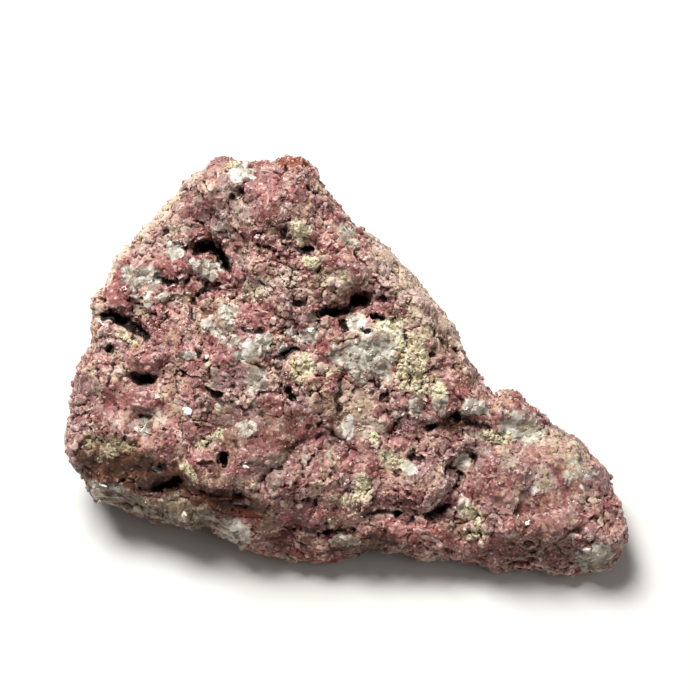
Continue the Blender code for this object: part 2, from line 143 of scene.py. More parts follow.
class Graph:
    """A material under construction."""

    def __init__(self, name: str) -> None:
        """Starts a material with nothing but its output.

        Args:
            name: The material's name.
        """
        self.material = bpy.data.materials.new(name)
        self.material.use_nodes = True
        self.tree = self.material.node_tree
        self.tree.nodes.clear()
        self.output = self.tree.nodes.new("ShaderNodeOutputMaterial")

    def node(self, kind: str, settings: dict, values: dict) -> bpy.types.Node:
        """Adds any node.

        Args:
            kind: The node's type.
            settings: Its settings, which are set first; "stops" are a ramp's (position, colour) pairs.
            values: Numbers, colours, vectors or wires for its inputs, by name, identifier or index.

        Returns:
            The node.
        """
        node = self.tree.nodes.new(kind)
        for name, value in settings.items():
            if name == "stops":
                self._set_stops(node.color_ramp, value)
            else:
                setattr(node, name, value)
        for key, value in values.items():
            socket = self._input(node, key)
            if isinstance(value, Wire):
                self.tree.links.new(value.socket, socket)
            elif socket.type == "RGBA" and len(value) == 3:
                socket.default_value = (*value, 1.0)
            else:
                socket.default_value = value
        return node

    def add(self, kind: str, settings: dict, values: dict, output: int | str = 0) -> Wire:
        """Adds any node and gives one of its outputs.

        Args:
            kind: The node's type.
            settings: Its settings.
            values: What its inputs hold.
            output: The output's name or index.

        Returns:
            The output.
        """
        return Wire(self, self.node(kind, settings, values).outputs[output])

    @staticmethod
    def _input(node: bpy.types.Node, key: int | str) -> bpy.types.NodeSocket:
        """An input by index, identifier or name.

        Args:
            node: The node.
            key: The input's index, identifier or name.

        Returns:
            The input socket.
        """
        if isinstance(key, int):
            return node.inputs[key]
        for socket in node.inputs:
            if socket.identifier == key:
                return socket
        return node.inputs[key]

    @staticmethod
    def _set_stops(ramp: bpy.types.ColorRamp, stops: Sequence[tuple[float, Colour]]) -> None:
        """Sets a ramp's stops.

        Args:
            ramp: The ramp.
            stops: (position, colour) pairs, in order.
        """
        while len(ramp.elements) < len(stops):
            ramp.elements.new(1.0)
        for element, (position, colour) in zip(ramp.elements, stops):
            element.position = position
            element.color = (*colour, 1.0)

    def mix(self, share: Wire | float, first: Wire | Colour, second: Wire | Colour) -> Wire:
        """Mixes two colours.

        Args:
            share: How much of the second.
            first: The first colour.
            second: The second colour.

        Returns:
            The mixed colour.
        """
        settings = {"data_type": "RGBA"}
        values = {"Factor_Float": share, "A_Color": first, "B_Color": second}
        node = self.node("ShaderNodeMix", settings, values)
        return Wire(self, next(s for s in node.outputs if s.identifier == "Result_Color"))

    def vector(self, operation: str, first: Wire | Sequence, second: Wire | Sequence = (0, 0, 0)) -> Wire:
        """Adds one Vector Math node.

        Args:
            operation: The node's operation.
            first: Its first vector.
            second: Its second vector.

        Returns:
            The resulting vector.
        """
        return self.add("ShaderNodeVectorMath", {"operation": operation}, {0: first, 1: second})

    def scaled(self, vector: Wire | Sequence, share: Wire | float) -> Wire:
        """A vector or a colour times a number.

        Args:
            vector: The vector.
            share: The number.

        Returns:
            The product.
        """
        return self.add("ShaderNodeVectorMath", {"operation": "SCALE"}, {0: vector, "Scale": share})

    def places(self) -> Wire:
        """The piece's Object coordinates, in millimetres."""
        coordinates = self.add("ShaderNodeTexCoord", {}, {}, "Object")
        return self.scaled(coordinates, 1 / MM)

    def attribute(self, name: str) -> Wire:
        """A number kept on the piece's points.

        Args:
            name: The attribute's name.

        Returns:
            Its value.
        """
        return self.add("ShaderNodeAttribute", {"attribute_name": name}, {}, "Fac")

    def noise(self, places: Wire, spacing: float, detail: float = 3.0, rough: float = 0.55) -> Wire:
        """Cloudy noise between 0 and 1.

        Args:
            places: Where, in millimetres.
            spacing: The size of its largest clouds, in millimetres.
            detail: How many finer layers it has.
            rough: How strong they are.

        Returns:
            The noise.
        """
        values = {"Vector": places, "Scale": 1 / spacing, "Detail": detail, "Roughness": rough}
        return self.add("ShaderNodeTexNoise", {}, values, "Fac")

    def grains(self, places: Wire, spacing: float) -> tuple[Wire, Wire]:
        """A packing of grains.

        Args:
            places: Where, in millimetres.
            spacing: The size of a grain, in millimetres.

        Returns:
            How far from the grain's middle, and a random colour for each grain.
        """
        node = self.node("ShaderNodeTexVoronoi", {}, {"Vector": places, "Scale": 1 / spacing})
        return Wire(self, node.outputs["Distance"]), Wire(self, node.outputs["Color"])

    def facets(self, tilts: Wire, amount: Wire | float, base: Wire | None = None) -> Wire:
        """Turns the surface's normal by a random tilt for each grain, which makes it glint.

        Args:
            tilts: A random colour for each grain.
            amount: How far the normal turns.
            base: The normal to turn, or None for the surface's own.

        Returns:
            The turned normal.
        """
        normal = base or self.add("ShaderNodeNewGeometry", {}, {}, "Normal")
        tilt = self.scaled(self.vector("SUBTRACT", tilts, (0.5, 0.5, 0.5)), amount)
        return self.vector("NORMALIZE", self.vector("ADD", normal, tilt))

    def bump(self, height: Wire, distance: float, strength: float, normal: Wire | None = None) -> Wire:
        """Bumps the normal.

        Args:
            height: The relief, between 0 and 1.
            distance: What a height of 1 stands for, in millimetres.
            strength: The node's strength.
            normal: The normal to start from, or None for the surface's own.

        Returns:
            The bumped normal.
        """
        values = {"Height": height, "Distance": distance * MM, "Strength": strength}
        if normal is not None:
            values["Normal"] = normal
        return self.add("ShaderNodeBump", {}, values)

    def finish(self, values: dict) -> bpy.types.Material:
        """Adds the Principled shader and joins it to the output.

        Args:
            values: What its inputs hold.

        Returns:
            The finished material.
        """
        shader = self.node("ShaderNodeBsdfPrincipled", {}, values)
        self.tree.links.new(shader.outputs[0], self.output.inputs["Surface"])
        return self.material


@dataclass(frozen=True)
class Cover:
    """How a mark on the surface turns into a layer of colour with a crooked edge."""

    low: float
    high: float
    strength: float
    ragged: float = 1.0
    crisp: float = 0.0
    dusty: float = 0.0


class RockPatterns:
    """The patterns in space and the marks on the surface that the rock's colour is mixed by."""

    spacings = {
        "broad": 9.0,
        "blush": 4.2,
        "wash": 5.0,
        "deep": 3.4,
        "warm": 5.0,
        "chalk": 3.6,
        "edge": 2.4,
    }
    drift = (31.0, -17.0, 11.0)
    covers = {
        "rose": Cover(0.30, 0.68, 0.72, ragged=0.8, crisp=1.0),
        "pale": Cover(0.25, 0.85, 0.75),
        "smoke": Cover(0.15, 0.75, 0.95),
        "quartz": Cover(0.30, 0.66, 0.88, ragged=0.7, crisp=1.0),
        "epidote": Cover(0.30, 0.85, 0.85, dusty=0.8),
        "rust": Cover(0.30, 0.70, 0.80),
    }
    marks = ("calm", "glassy", "clump", "grit", "grain", "tone", "crest", "hollow", "pore")

    def __init__(self, graph: Graph, grain: float, fine_grain: float) -> None:
        """Adds the nodes of every pattern and mark.

        Args:
            graph: The material under construction.
            grain: The size of a grain, in millimetres.
            fine_grain: The size of a fine grain, in millimetres.
        """
        self.graph = graph
        self.places = graph.places()
        self.small = graph.noise(self.places, 0.6, 3.0, 0.6)
        self.dust = graph.noise(self.places, 0.5, 4.0, 0.66)
        self.frosting = graph.noise(self.places, 1.6, 3.0, 0.55)
        self.far, self.tint = graph.grains(self.places, grain)
        _, self.fine_tint = graph.grains(self.places, fine_grain)
        self.red, self.green, self.blue = self.tint.channels()
        self.fine_red, self.fine_green, self.fine_blue = self.fine_tint.channels()
        self.clouds = {}
        for step, (name, spacing) in enumerate(self.spacings.items()):
            aside = graph.vector("ADD", self.places, tuple(step * way for way in self.drift))
            self.clouds[name] = graph.noise(aside, spacing, 4.0, 0.54)
        self.mark = {name: graph.attribute(name) for name in self.marks}
        self.ragged = self.clouds["edge"].swing(1.1) + self.small.swing(0.35) + self.mark["grit"].swing(0.12)
        self.crisp = self.mark["grain"].swing(0.40) + self.mark["grit"].swing(0.30)
        self.share = {name: self._share(name, cover) for name, cover in self.covers.items()}

    def _share(self, name: str, cover: Cover) -> Wire:
        """How much of the surface's colour one mark takes.

        Args:
            name: The mark's name.
            cover: How it covers.

        Returns:
            Between 0 and 1.
        """
        height = self.graph.attribute(name) + self.ragged * cover.ragged
        if cover.crisp:
            height = height + self.crisp * cover.crisp
        if cover.dusty:
            height = height + self.dust.swing(cover.dusty)
        return height.rise(cover.low, cover.high)

    def laid(self, name: str, under: Wire, over: Wire | Colour) -> Wire:
        """Lays one mark's colour over what is beneath it.

        Args:
            name: The mark's name.
            under: The colour beneath.
            over: The mark's own colour.

        Returns:
            The mixed colour.
        """
        return self.graph.mix(self.share[name] * self.covers[name].strength, under, over)


@dataclass(frozen=True)
class RockFinish:
    """The stone's substance, one field of colour that its surface and its grains all read."""

    name: str = "rose_rock"
    roughness: float = 0.58
    transmission: float = 0.0
    coat: float = 0.0
    subsurface: float = 0.0
    crimson: Colour = (0.130, 0.026, 0.031)
    rose: Colour = (0.240, 0.080, 0.081)
    pink: Colour = (0.374, 0.193, 0.173)
    peach: Colour = (0.430, 0.295, 0.190)
    mauve: Colour = (0.232, 0.142, 0.140)
    cream: Colour = (0.555, 0.478, 0.325)
    grey: Colour = (0.318, 0.284, 0.222)
    ruby: Colour = (0.295, 0.088, 0.086)
    brown: Colour = (0.058, 0.021, 0.009)
    umber: Colour = (0.062, 0.032, 0.016)
    white: Colour = (0.720, 0.690, 0.640)
    # Pale frosting, and the colour of painted glints and painted crest highlights.
    frost_and_glint: Colour = (0.600, 0.460, 0.410)
    # Painted shade in crevices and hollows: dark red.
    wine_shade: Colour = (0.095, 0.022, 0.018)
    # Brown tints for the lower front flank and spots under ledges: partly real staining, partly painted
    # shade.
    stain_and_shade_tint: Colour = (0.45, 0.27, 0.155)
    deep_stain_and_shade_tint: Colour = (0.21, 0.108, 0.055)
    quartz: Colour = (0.480, 0.470, 0.400)
    quartz_dark: Colour = (0.165, 0.140, 0.108)
    epidote: Colour = (0.330, 0.275, 0.140)
    epidote_pale: Colour = (0.640, 0.590, 0.400)
    rust: Colour = (0.210, 0.050, 0.020)
    # Painted shade in pores and vugs: near black.
    pore: Colour = (0.006, 0.003, 0.002)
    grain: float = 0.62
    fine_grain: float = 0.32
    facet: float = 0.27
    relief: float = 0.9
    own: float = 0.0

    def make(self) -> bpy.types.Material:
        """The finish as a material."""
        g = Graph(self.name)
        p = RockPatterns(g, self.grain, self.fine_grain)
        quartz, calm, glassy = p.share["quartz"], p.mark["calm"], p.mark["glassy"]
        even = (1.0 - quartz * 0.35) * (1.0 - calm * 0.4) * (1.0 - glassy * 0.5)
        normal = g.facets(p.tint, even * self.facet)
        normal = g.facets(p.fine_tint, even * (self.facet * 0.7), normal)
        normal = g.bump(p.small * 0.7 + (1.0 - p.far) * 0.3, 0.18, self.relief, normal)
        sparkle = p.fine_red.rise(0.78, 0.86) * 0.34
        rough = self.roughness + 0.06 + p.fine_blue.swing(0.25) - quartz * 0.20 - glassy * 0.12 - sparkle
        colour = self._rock(g, p)
        for layer in (self._rose, self._pale, self._smoke, self._quartz, self._epidote):
            colour = layer(g, p, colour)
        colour = self._hollows(g, p, self._specks(g, p, colour))
        values = {
            "Base Color": colour,
            "Roughness": rough,
            "Normal": normal,
            "IOR": 1.55,
            "Specular IOR Level": 0.22,
            "Transmission Weight": self.transmission,
            "Subsurface Weight": self.subsurface,
            "Subsurface Scale": 0.5 * MM,
            "Coat Weight": self.coat,
            "Coat Roughness": 0.15,
        }
        return g.finish(values)

    def _rock(self, g: Graph, p: RockPatterns) -> Wire:
        """The rock itself, cloudy rose and pink with mauve, crimson, peach, cream and grey in it.

        Args:
            g: The material under construction.
            p: Its patterns.

        Returns:
            The colour.
        """
        clouds, clump = p.clouds, p.mark["clump"]
        cell = p.mark["grit"].swing(0.10) + p.mark["grain"].swing(0.08) + p.red.swing(0.05)
        blush = g.mix((clouds["blush"] + cell).rise(0.42, 0.56), self.rose, self.pink)
        broad = clouds["broad"] * 0.6 + clouds["wash"] * 0.4 + clump.swing(0.08)
        chalk = clouds["chalk"] + p.blue.swing(0.12) + clump.swing(0.05)
        layers = (
            (broad.rise(0.47, 0.57), 0.80, self.mauve),
            ((clouds["deep"] - cell).rise(0.53, 0.62), 0.65, self.crimson),
            ((clouds["warm"] + p.green.swing(0.10)).rise(0.54, 0.64), 0.50, self.peach),
            (chalk.rise(0.56, 0.66), 0.50, self.cream),
            ((clouds["edge"] + clump.swing(0.08)).rise(0.60, 0.66), 0.55, self.grey),
        )
        return self._laid(g, blush, layers)

    @staticmethod
    def _laid(g: Graph, colour: Wire, layers: Iterable[tuple[Wire, Wire | float, Wire | Colour]]) -> Wire:
        """Lays colours over one another.

        Args:
            g: The material under construction.
            colour: The lowest colour.
            layers: Where each layer is, how strong it is there and its colour.

        Returns:
            The colour on top.
        """
        for share, strength, over in layers:
            colour = g.mix(share * strength, colour, over)
        return colour

    def _rose(self, g: Graph, p: RockPatterns, colour: Wire) -> Wire:
        """Masses of piemontite, and the dust of cream and crimson grains around them.

        Args:
            g: The material under construction.
            p: Its patterns.
            colour: The colour so far.

        Returns:
            The colour.
        """
        depth = p.clouds["blush"] * 0.5 + p.small * 0.5 + p.red.swing(0.3)
        colour = p.laid("rose", colour, g.mix(depth.rise(0.32, 0.62), self.crimson, self.ruby))
        lively = (1.0 - p.mark["calm"] * 0.3) * (1.0 - p.mark["glassy"] * 0.6) * (1.0 - p.share["rose"] * 0.4)
        pale_dust = (p.dust + p.fine_red.swing(0.12)).rise(0.53, 0.68)
        red_dust = (1.0 - p.dust + p.fine_green.swing(0.12)).rise(0.55, 0.70)
        layers = ((pale_dust * lively, 0.42, self.cream), (red_dust * lively, 0.50, self.crimson))
        return self._laid(g, colour, layers)

    def _pale(self, g: Graph, p: RockPatterns, colour: Wire) -> Wire:
        """Pale worn patches, partly painted light along the lit left rim, and pale fibres where the surface
        is calm.

        Args:
            g: The material under construction.
            p: Its patterns.
            colour: The colour so far.

        Returns:
            The colour.
        """
        chalky = (p.clouds["edge"] + p.mark["grain"].swing(0.2)).rise(0.42, 0.60)
        colour = p.laid("pale", colour, g.mix(chalky, self.cream, self.frost_and_glint))
        along = {"Vector": p.places, "Rotation": (0.2, 0.1, 0.65), "Scale": (0.30, 1.0, 1.0)}
        fibres = g.noise(g.add("ShaderNodeMapping", {}, along), 0.55, 3.0, 0.65)
        fibres = (fibres + p.small.swing(0.3)).rise(0.56, 0.70)
        return g.mix(fibres * p.mark["calm"] * 0.42, colour, self.frost_and_glint)

    def _smoke(self, g: Graph, p: RockPatterns, colour: Wire) -> Wire:
        """Banded brown staining, partly painted shade that darkens the lower front flank and the undersides
        of ledges.

        Args:
            g: The material under construction.
            p: Its patterns.
            colour: The colour so far.

        Returns:
            The colour.
        """
        bands = g.noise(g.vector("MULTIPLY", p.places, (0.22, 1.0, 1.0)), 1.1, 3.0, 0.6)
        stain_and_shade_tint = g.mix((bands * 0.7 + p.clouds["deep"] * 0.3).rise(0.42, 0.60), self.deep_stain_and_shade_tint, self.stain_and_shade_tint)
        colour = p.laid("smoke", colour, g.vector("MULTIPLY", colour, stain_and_shade_tint))
        return g.mix(p.share["smoke"] * 0.40, colour, self.umber)

    def _quartz(self, g: Graph, p: RockPatterns, colour: Wire) -> Wire:
        """Grey quartz, milky by patches, with a painted highlight on its raised crests, stained and darkened
        by painted shade where the rock is.

        Args:
            g: The material under construction.
            p: Its patterns.
            colour: The colour so far.

        Returns:
            The colour.
        """
        milk = p.mark["tone"] * 0.9 + p.frosting.swing(1.3) + p.clouds["wash"].swing(0.6)
        milk = milk + p.mark["grain"].swing(0.75) + p.mark["grit"].swing(0.60)
        own = g.mix(milk.rise(-0.1, 0.9), self.quartz_dark, self.quartz)
        own = g.mix((milk + p.fine_red * 0.25).rise(0.75, 1.25) * 0.8, own, self.white)
        colour = p.laid("quartz", colour, own)
        share = p.share["quartz"]
        # Painted highlight on the quartz's raised crests.
        colour = g.mix(share * p.mark["crest"].rise(0.25, 0.80) * 0.34, colour, self.white)
        # Staining and painted shade darken the quartz too where they lie.
        return g.mix(share * p.share["smoke"] * 0.75, colour, g.vector("MULTIPLY", colour, self.stain_and_shade_tint))

    def _epidote(self, g: Graph, p: RockPatterns, colour: Wire) -> Wire:
        """Yellow-green epidote, and specks of rust.

        Args:
            g: The material under construction.
            p: Its patterns.
            colour: The colour so far.

        Returns:
            The colour.
        """
        pale = (p.frosting * 0.6 + p.small * 0.4 + p.blue.swing(0.2)).rise(0.34, 0.56)
        colour = p.laid("epidote", colour, g.mix(pale, self.epidote, self.epidote_pale))
        return p.laid("rust", colour, self.rust)

    def _specks(self, g: Graph, p: RockPatterns, colour: Wire) -> Wire:
        """Brown grains, painted white glints, uneven random tone, each loose grain's own tint, and a painted
        highlight on raised crests mixed with pale dust.

        Args:
            g: The material under construction.
            p: Its patterns.
            colour: The colour so far.

        Returns:
            The colour.
        """
        # bare: away from the brown staining and painted shade.
        bare = 1.0 - p.share["smoke"] * 0.8
        dull = 1.0 - p.share["quartz"] * 0.85
        # Painted glints: small white specks.
        painted_glints = (p.fine_red + p.small.swing(0.5)).rise(0.91, 0.98)
        layers = ((p.fine_green.rise(0.86, 0.92) * dull, 0.5, self.brown), (painted_glints * bare, 0.6, self.frost_and_glint))
        colour = self._laid(g, colour, layers)
        shade = 0.86 + p.small * 0.28 + p.fine_blue.swing(0.26) + p.red.swing(0.12)
        calmed = 1.0 - p.mark["calm"] * (1.0 - p.share["quartz"]) * 0.14
        colour = g.scaled(colour, shade * calmed)
        if self.own:
            own = g.attribute("tint")
            colour = g.mix(own.rise(0.60, 1.0) * self.own, colour, self.frost_and_glint)
            colour = g.mix((1.0 - own).rise(0.60, 1.0) * self.own, colour, self.crimson)
        # Painted highlight on raised crests, mixed with pale dust.
        crest = (p.mark["crest"] + p.dust.swing(0.8)).rise(0.30, 0.85)
        return g.mix(crest * bare * 0.58, colour, self.frost_and_glint)

    def _hollows(self, g: Graph, p: RockPatterns, colour: Wire) -> Wire:
        """Painted shade: dark red in crevices and hollows, and near black in pores and vugs.

        Args:
            g: The material under construction.
            p: Its patterns.
            colour: The colour so far.

        Returns:
            The colour.
        """
        hollow = p.mark["hollow"] * (1.0 - p.share["quartz"] * 0.55)
        layers = (
            (hollow.rise(0.20, 0.70), 0.66, self.wine_shade),
            (hollow.rise(0.48, 0.92), 0.88, self.pore),
            (p.mark["pore"].rise(0.05, 0.55), 0.96, self.pore),
        )
        return self._laid(g, colour, layers)


@dataclass(frozen=True)
class FlakeFinish:
    """Bright cleavage flakes: each takes its own white between two."""

    name: str = "white_flake"
    dim: Colour = (0.86, 0.84, 0.80)
    bright: Colour = (0.93, 0.92, 0.90)
    cream: Colour = (0.90, 0.86, 0.80)
    # Painted contact shade at the base of each flake.
    hollow: Colour = (0.06, 0.025, 0.018)
    roughness: float = 0.25
    facet: float = 0.25

    def make(self) -> bpy.types.Material:
        """The finish as a material."""
        g = Graph(self.name)
        places = g.places()
        clouds = g.noise(places, 0.9, 3.0, 0.6)
        far, tint = g.grains(places, 0.45)
        red, green, _ = tint.channels()
        ramp = {"stops": ((0.0, self.dim), (1.0, self.bright))}
        pick = g.attribute("tint") + clouds.swing(0.25)
        colour = g.add("ShaderNodeValToRGB", ramp, {"Fac": pick}, "Color")
        colour = g.mix((green + clouds.swing(0.5)).rise(0.86, 0.94) * 0.35, colour, self.cream)
        # Painted contact shade where the flake sits in the stone.
        colour = g.mix(g.attribute("hollow").rise(0.5, 1.0) * 0.6, colour, self.hollow)
        values = {
            "Base Color": colour,
            "Roughness": self.roughness + red.swing(0.25),
            "Normal": g.bump(clouds * 0.7 + far * 0.3, 0.08, 0.6, g.facets(tint, self.facet)),
            "IOR": 1.55,
        }
        return g.finish(values)


@dataclass(frozen=True)
class FloorFinish:
    """A plain pale studio floor."""

    colour: Colour = (0.55, 0.55, 0.54)

    def make(self) -> bpy.types.Material:
        """The finish as a material."""
        g = Graph("pale_floor")
        cloud = g.noise(g.places(), 60.0, 2.0)
        colour = g.mix(cloud * 0.3, self.colour, (0.53, 0.53, 0.52))
        return g.finish({"Base Color": colour, "Roughness": 0.85, "Specular IOR Level": 0.2})


# --------------------------------------------------------------------------- noise in space


def smooth_step(share: np.ndarray) -> np.ndarray:
    """A smooth step from 0 to 1.

    Args:
        share: Values, of which those below 0 give 0 and those above 1 give 1.

    Returns:
        The step.
    """
    share = np.clip(share, 0.0, 1.0)
    return share * share * (3.0 - 2.0 * share)


def lattice(cells: np.ndarray, seed: int, count: int = 1) -> np.ndarray:
    """Random numbers that depend only on a lattice cell and a seed.

    Args:
        cells: Whole-number cells, one row each.
        seed: The seed.
        count: How many numbers each cell gets.

    Returns:
        Numbers between 0 and 1, one row a cell.
    """
    x, y, z = (cells[:, i].astype(np.int64).astype(np.uint32) for i in range(3))
    mixed = x * np.uint32(0x8DA6B343) ^ y * np.uint32(0xD8163841) ^ z * np.uint32(0xCB1AB31F)
    mixed ^= np.uint32(seed * 0x9E3779B1 & 0xFFFFFFFF)
    columns = []
    for _ in range(count):
        mixed = (mixed ^ (mixed >> np.uint32(16))) * np.uint32(0x7FEB352D)
        mixed = (mixed ^ (mixed >> np.uint32(15))) * np.uint32(0x846CA68B)
        mixed = mixed ^ (mixed >> np.uint32(16))
        columns.append(mixed / 4294967296.0)
    return np.stack(columns, axis=1)


@dataclass(frozen=True)
class Clouds:
    """Smooth noise between -1 and 1."""

    spacing: float
    seed: int
    layers: int = 1

    def at(self, points: np.ndarray) -> np.ndarray:
        """The noise at each point.

        Args:
            points: Points in millimetres.

        Returns:
            One value a point.
        """
        total = np.zeros(len(points))
        for layer in range(self.layers):
            total += self._one(points * (2**layer / self.spacing), self.seed + layer) / 2**layer
        return total

    def push(self, points: np.ndarray, ways: int = 3) -> np.ndarray:
        """Noise of its own along each of a few axes.

        Args:
            points: Points in millimetres.
            ways: How many axes.

        Returns:
            One row a point and one column an axis.
        """
        return np.stack([replace(self, seed=self.seed + way).at(points) for way in range(ways)], axis=1)

    @staticmethod
    def _one(places: np.ndarray, seed: int) -> np.ndarray:
        """One layer of noise.

        Args:
            places: Points, in units of the layer's spacing.
            seed: The layer's seed.

        Returns:
            One value a point.
        """
        low = np.floor(places)
        share = smooth_step(places - low)
        total = np.zeros(len(places))
        for corner in np.ndindex(2, 2, 2):
            weight = np.prod(np.where(corner, share, 1.0 - share), axis=1)
            total += weight * lattice(low + corner, seed)[:, 0]
        return total * 2.0 - 1.0


@dataclass(frozen=True)
class Packing:
    """Space divided among grains of about one size."""

    spacing: float
    seed: int

    def at(self, points: np.ndarray) -> tuple[np.ndarray, np.ndarray, np.ndarray]:
        """The grain that holds each point.

        Args:
            points: Points in millimetres.

        Returns:
            How far inside the grain's border each point is, in grain sizes; the way from the
            grain's middle to the point, in millimetres; and four random numbers for the grain.
        """
        places = points / self.spacing
        home = np.floor(places)
        nearest = np.full(len(points), np.inf)
        second = nearest.copy()
        away = np.zeros_like(points)
        cells = home.copy()
        for step in np.ndindex(3, 3, 3):
            cell = home + np.array(step) - 1
            reach = places - cell - 0.1 - 0.8 * lattice(cell, self.seed, 3)
            far = np.linalg.norm(reach, axis=1)
            closer = far < nearest
            second = np.where(closer, nearest, np.minimum(second, far))
            nearest = np.where(closer, far, nearest)
            away[closer] = reach[closer]
            cells[closer] = cell[closer]
        return second - nearest, away * self.spacing, lattice(cells, self.seed + 7, 4)


# --------------------------------------------------------------------------- the show face


@dataclass(frozen=True)
class ShowFace:
    """The leaning frame of the show face."""

    elevation: float = math.radians(58.0)
    girdle_out: float = 21.0
    centred: Pair = (0.04, 10.08)

    def outward(self) -> Vector:
        """The direction square to the girdle, out of the show face."""
        return Vector((0.0, -math.cos(self.elevation), math.sin(self.elevation)))

    def place(self, right: float, up: float, out: float) -> Vector:
        """A place in the row's frame.

        Args:
            right: To the right, in millimetres.
            up: Up along the face, in millimetres.
            out: Out of the girdle's plane, in millimetres.

        Returns:
            The place, in metres.
        """
        sine, cosine = math.sin(self.elevation), math.cos(self.elevation)
        rise = out + self.girdle_out
        x, y = right + self.centred[0], up * sine - rise * cosine + self.centred[1]
        return Vector((x, y, up * cosine + rise * sine)) * MM

    def along(self, right: float, up: float) -> np.ndarray:
        """A way along the face, in millimetres."""
        return np.array(self.place(right, up, 0.0) - self.place(0.0, 0.0, 0.0)) / MM

    def read(self, points: np.ndarray) -> np.ndarray:
        """Places in the leaning frame.

        Args:
            points: Points in the row's frame, in millimetres.

        Returns:
            Right, up and out for each point, in millimetres.
        """
        sine, cosine = math.sin(self.elevation), math.cos(self.elevation)
        y, z = points[:, 1] - self.centred[1], points[:, 2]
        right = points[:, 0] - self.centred[0]
        return np.stack([right, y * sine + z * cosine, z * sine - y * cosine - self.girdle_out], axis=1)


class Mineral(Enum):
    """What a patch of the surface is made of, that it is calm, or that it is stained and darkened with
    painted shade, by the attribute that holds it.
    """

    QUARTZ = "quartz"
    EPIDOTE = "epidote"
    ROSE = "rose"
    PALE = "pale"
    SMOKE = "smoke"
    RUST = "rust"
    CALM = "calm"


@dataclass(frozen=True)
class Patch:
    """An oval patch of one mineral on the show face.

    The rows of PATCH_ROWS give the fields from at on, in this order.
    """

    mineral: Mineral
    at: Pair
    radii: Pair
    turn: float = 0.0
    strength: float = 1.0
    tone: float = 0.5
    proud: float = 0.0

    def share(self, places: np.ndarray) -> np.ndarray:
        """How far inside the patch each place is.

        Args:
            places: Places in the leaning frame.

        Returns:
            1 at the middle, 0 on the outline, negative beyond.
        """
        turn = math.radians(self.turn)
        x, y = places[:, 0] - self.at[0], places[:, 1] - self.at[1]
        along = (x * math.cos(turn) + y * math.sin(turn)) / self.radii[0]
        across = (y * math.cos(turn) - x * math.sin(turn)) / self.radii[1]
        return 1.0 - np.hypot(along, across)


@dataclass(frozen=True)
class Vug:
    """A hollow that follows a line of one or more points on the show face, painted near black as shade."""

    line: tuple[Pair, ...]
    half_width: float
    depth: float

    def share(self, places: np.ndarray) -> np.ndarray:
        """How far inside the hollow each place is.

        Args:
            places: Places in the leaning frame.

        Returns:
            1 on the line, 0 on the hollow's rim, negative beyond.
        """
        spots = places[:, :2]
        points = np.array(self.line if len(self.line) > 1 else self.line * 2, float)
        nearest = np.full(len(spots), np.inf)
        for start, end in zip(points, points[1:]):
            along = end - start
            length = max(float(along @ along), 1e-9)
            part = np.clip((spots - start) @ along / length, 0.0, 1.0)
            nearest = np.minimum(nearest, np.linalg.norm(spots - start - part[:, None] * along, axis=1))
        return 1.0 - nearest / self.half_width


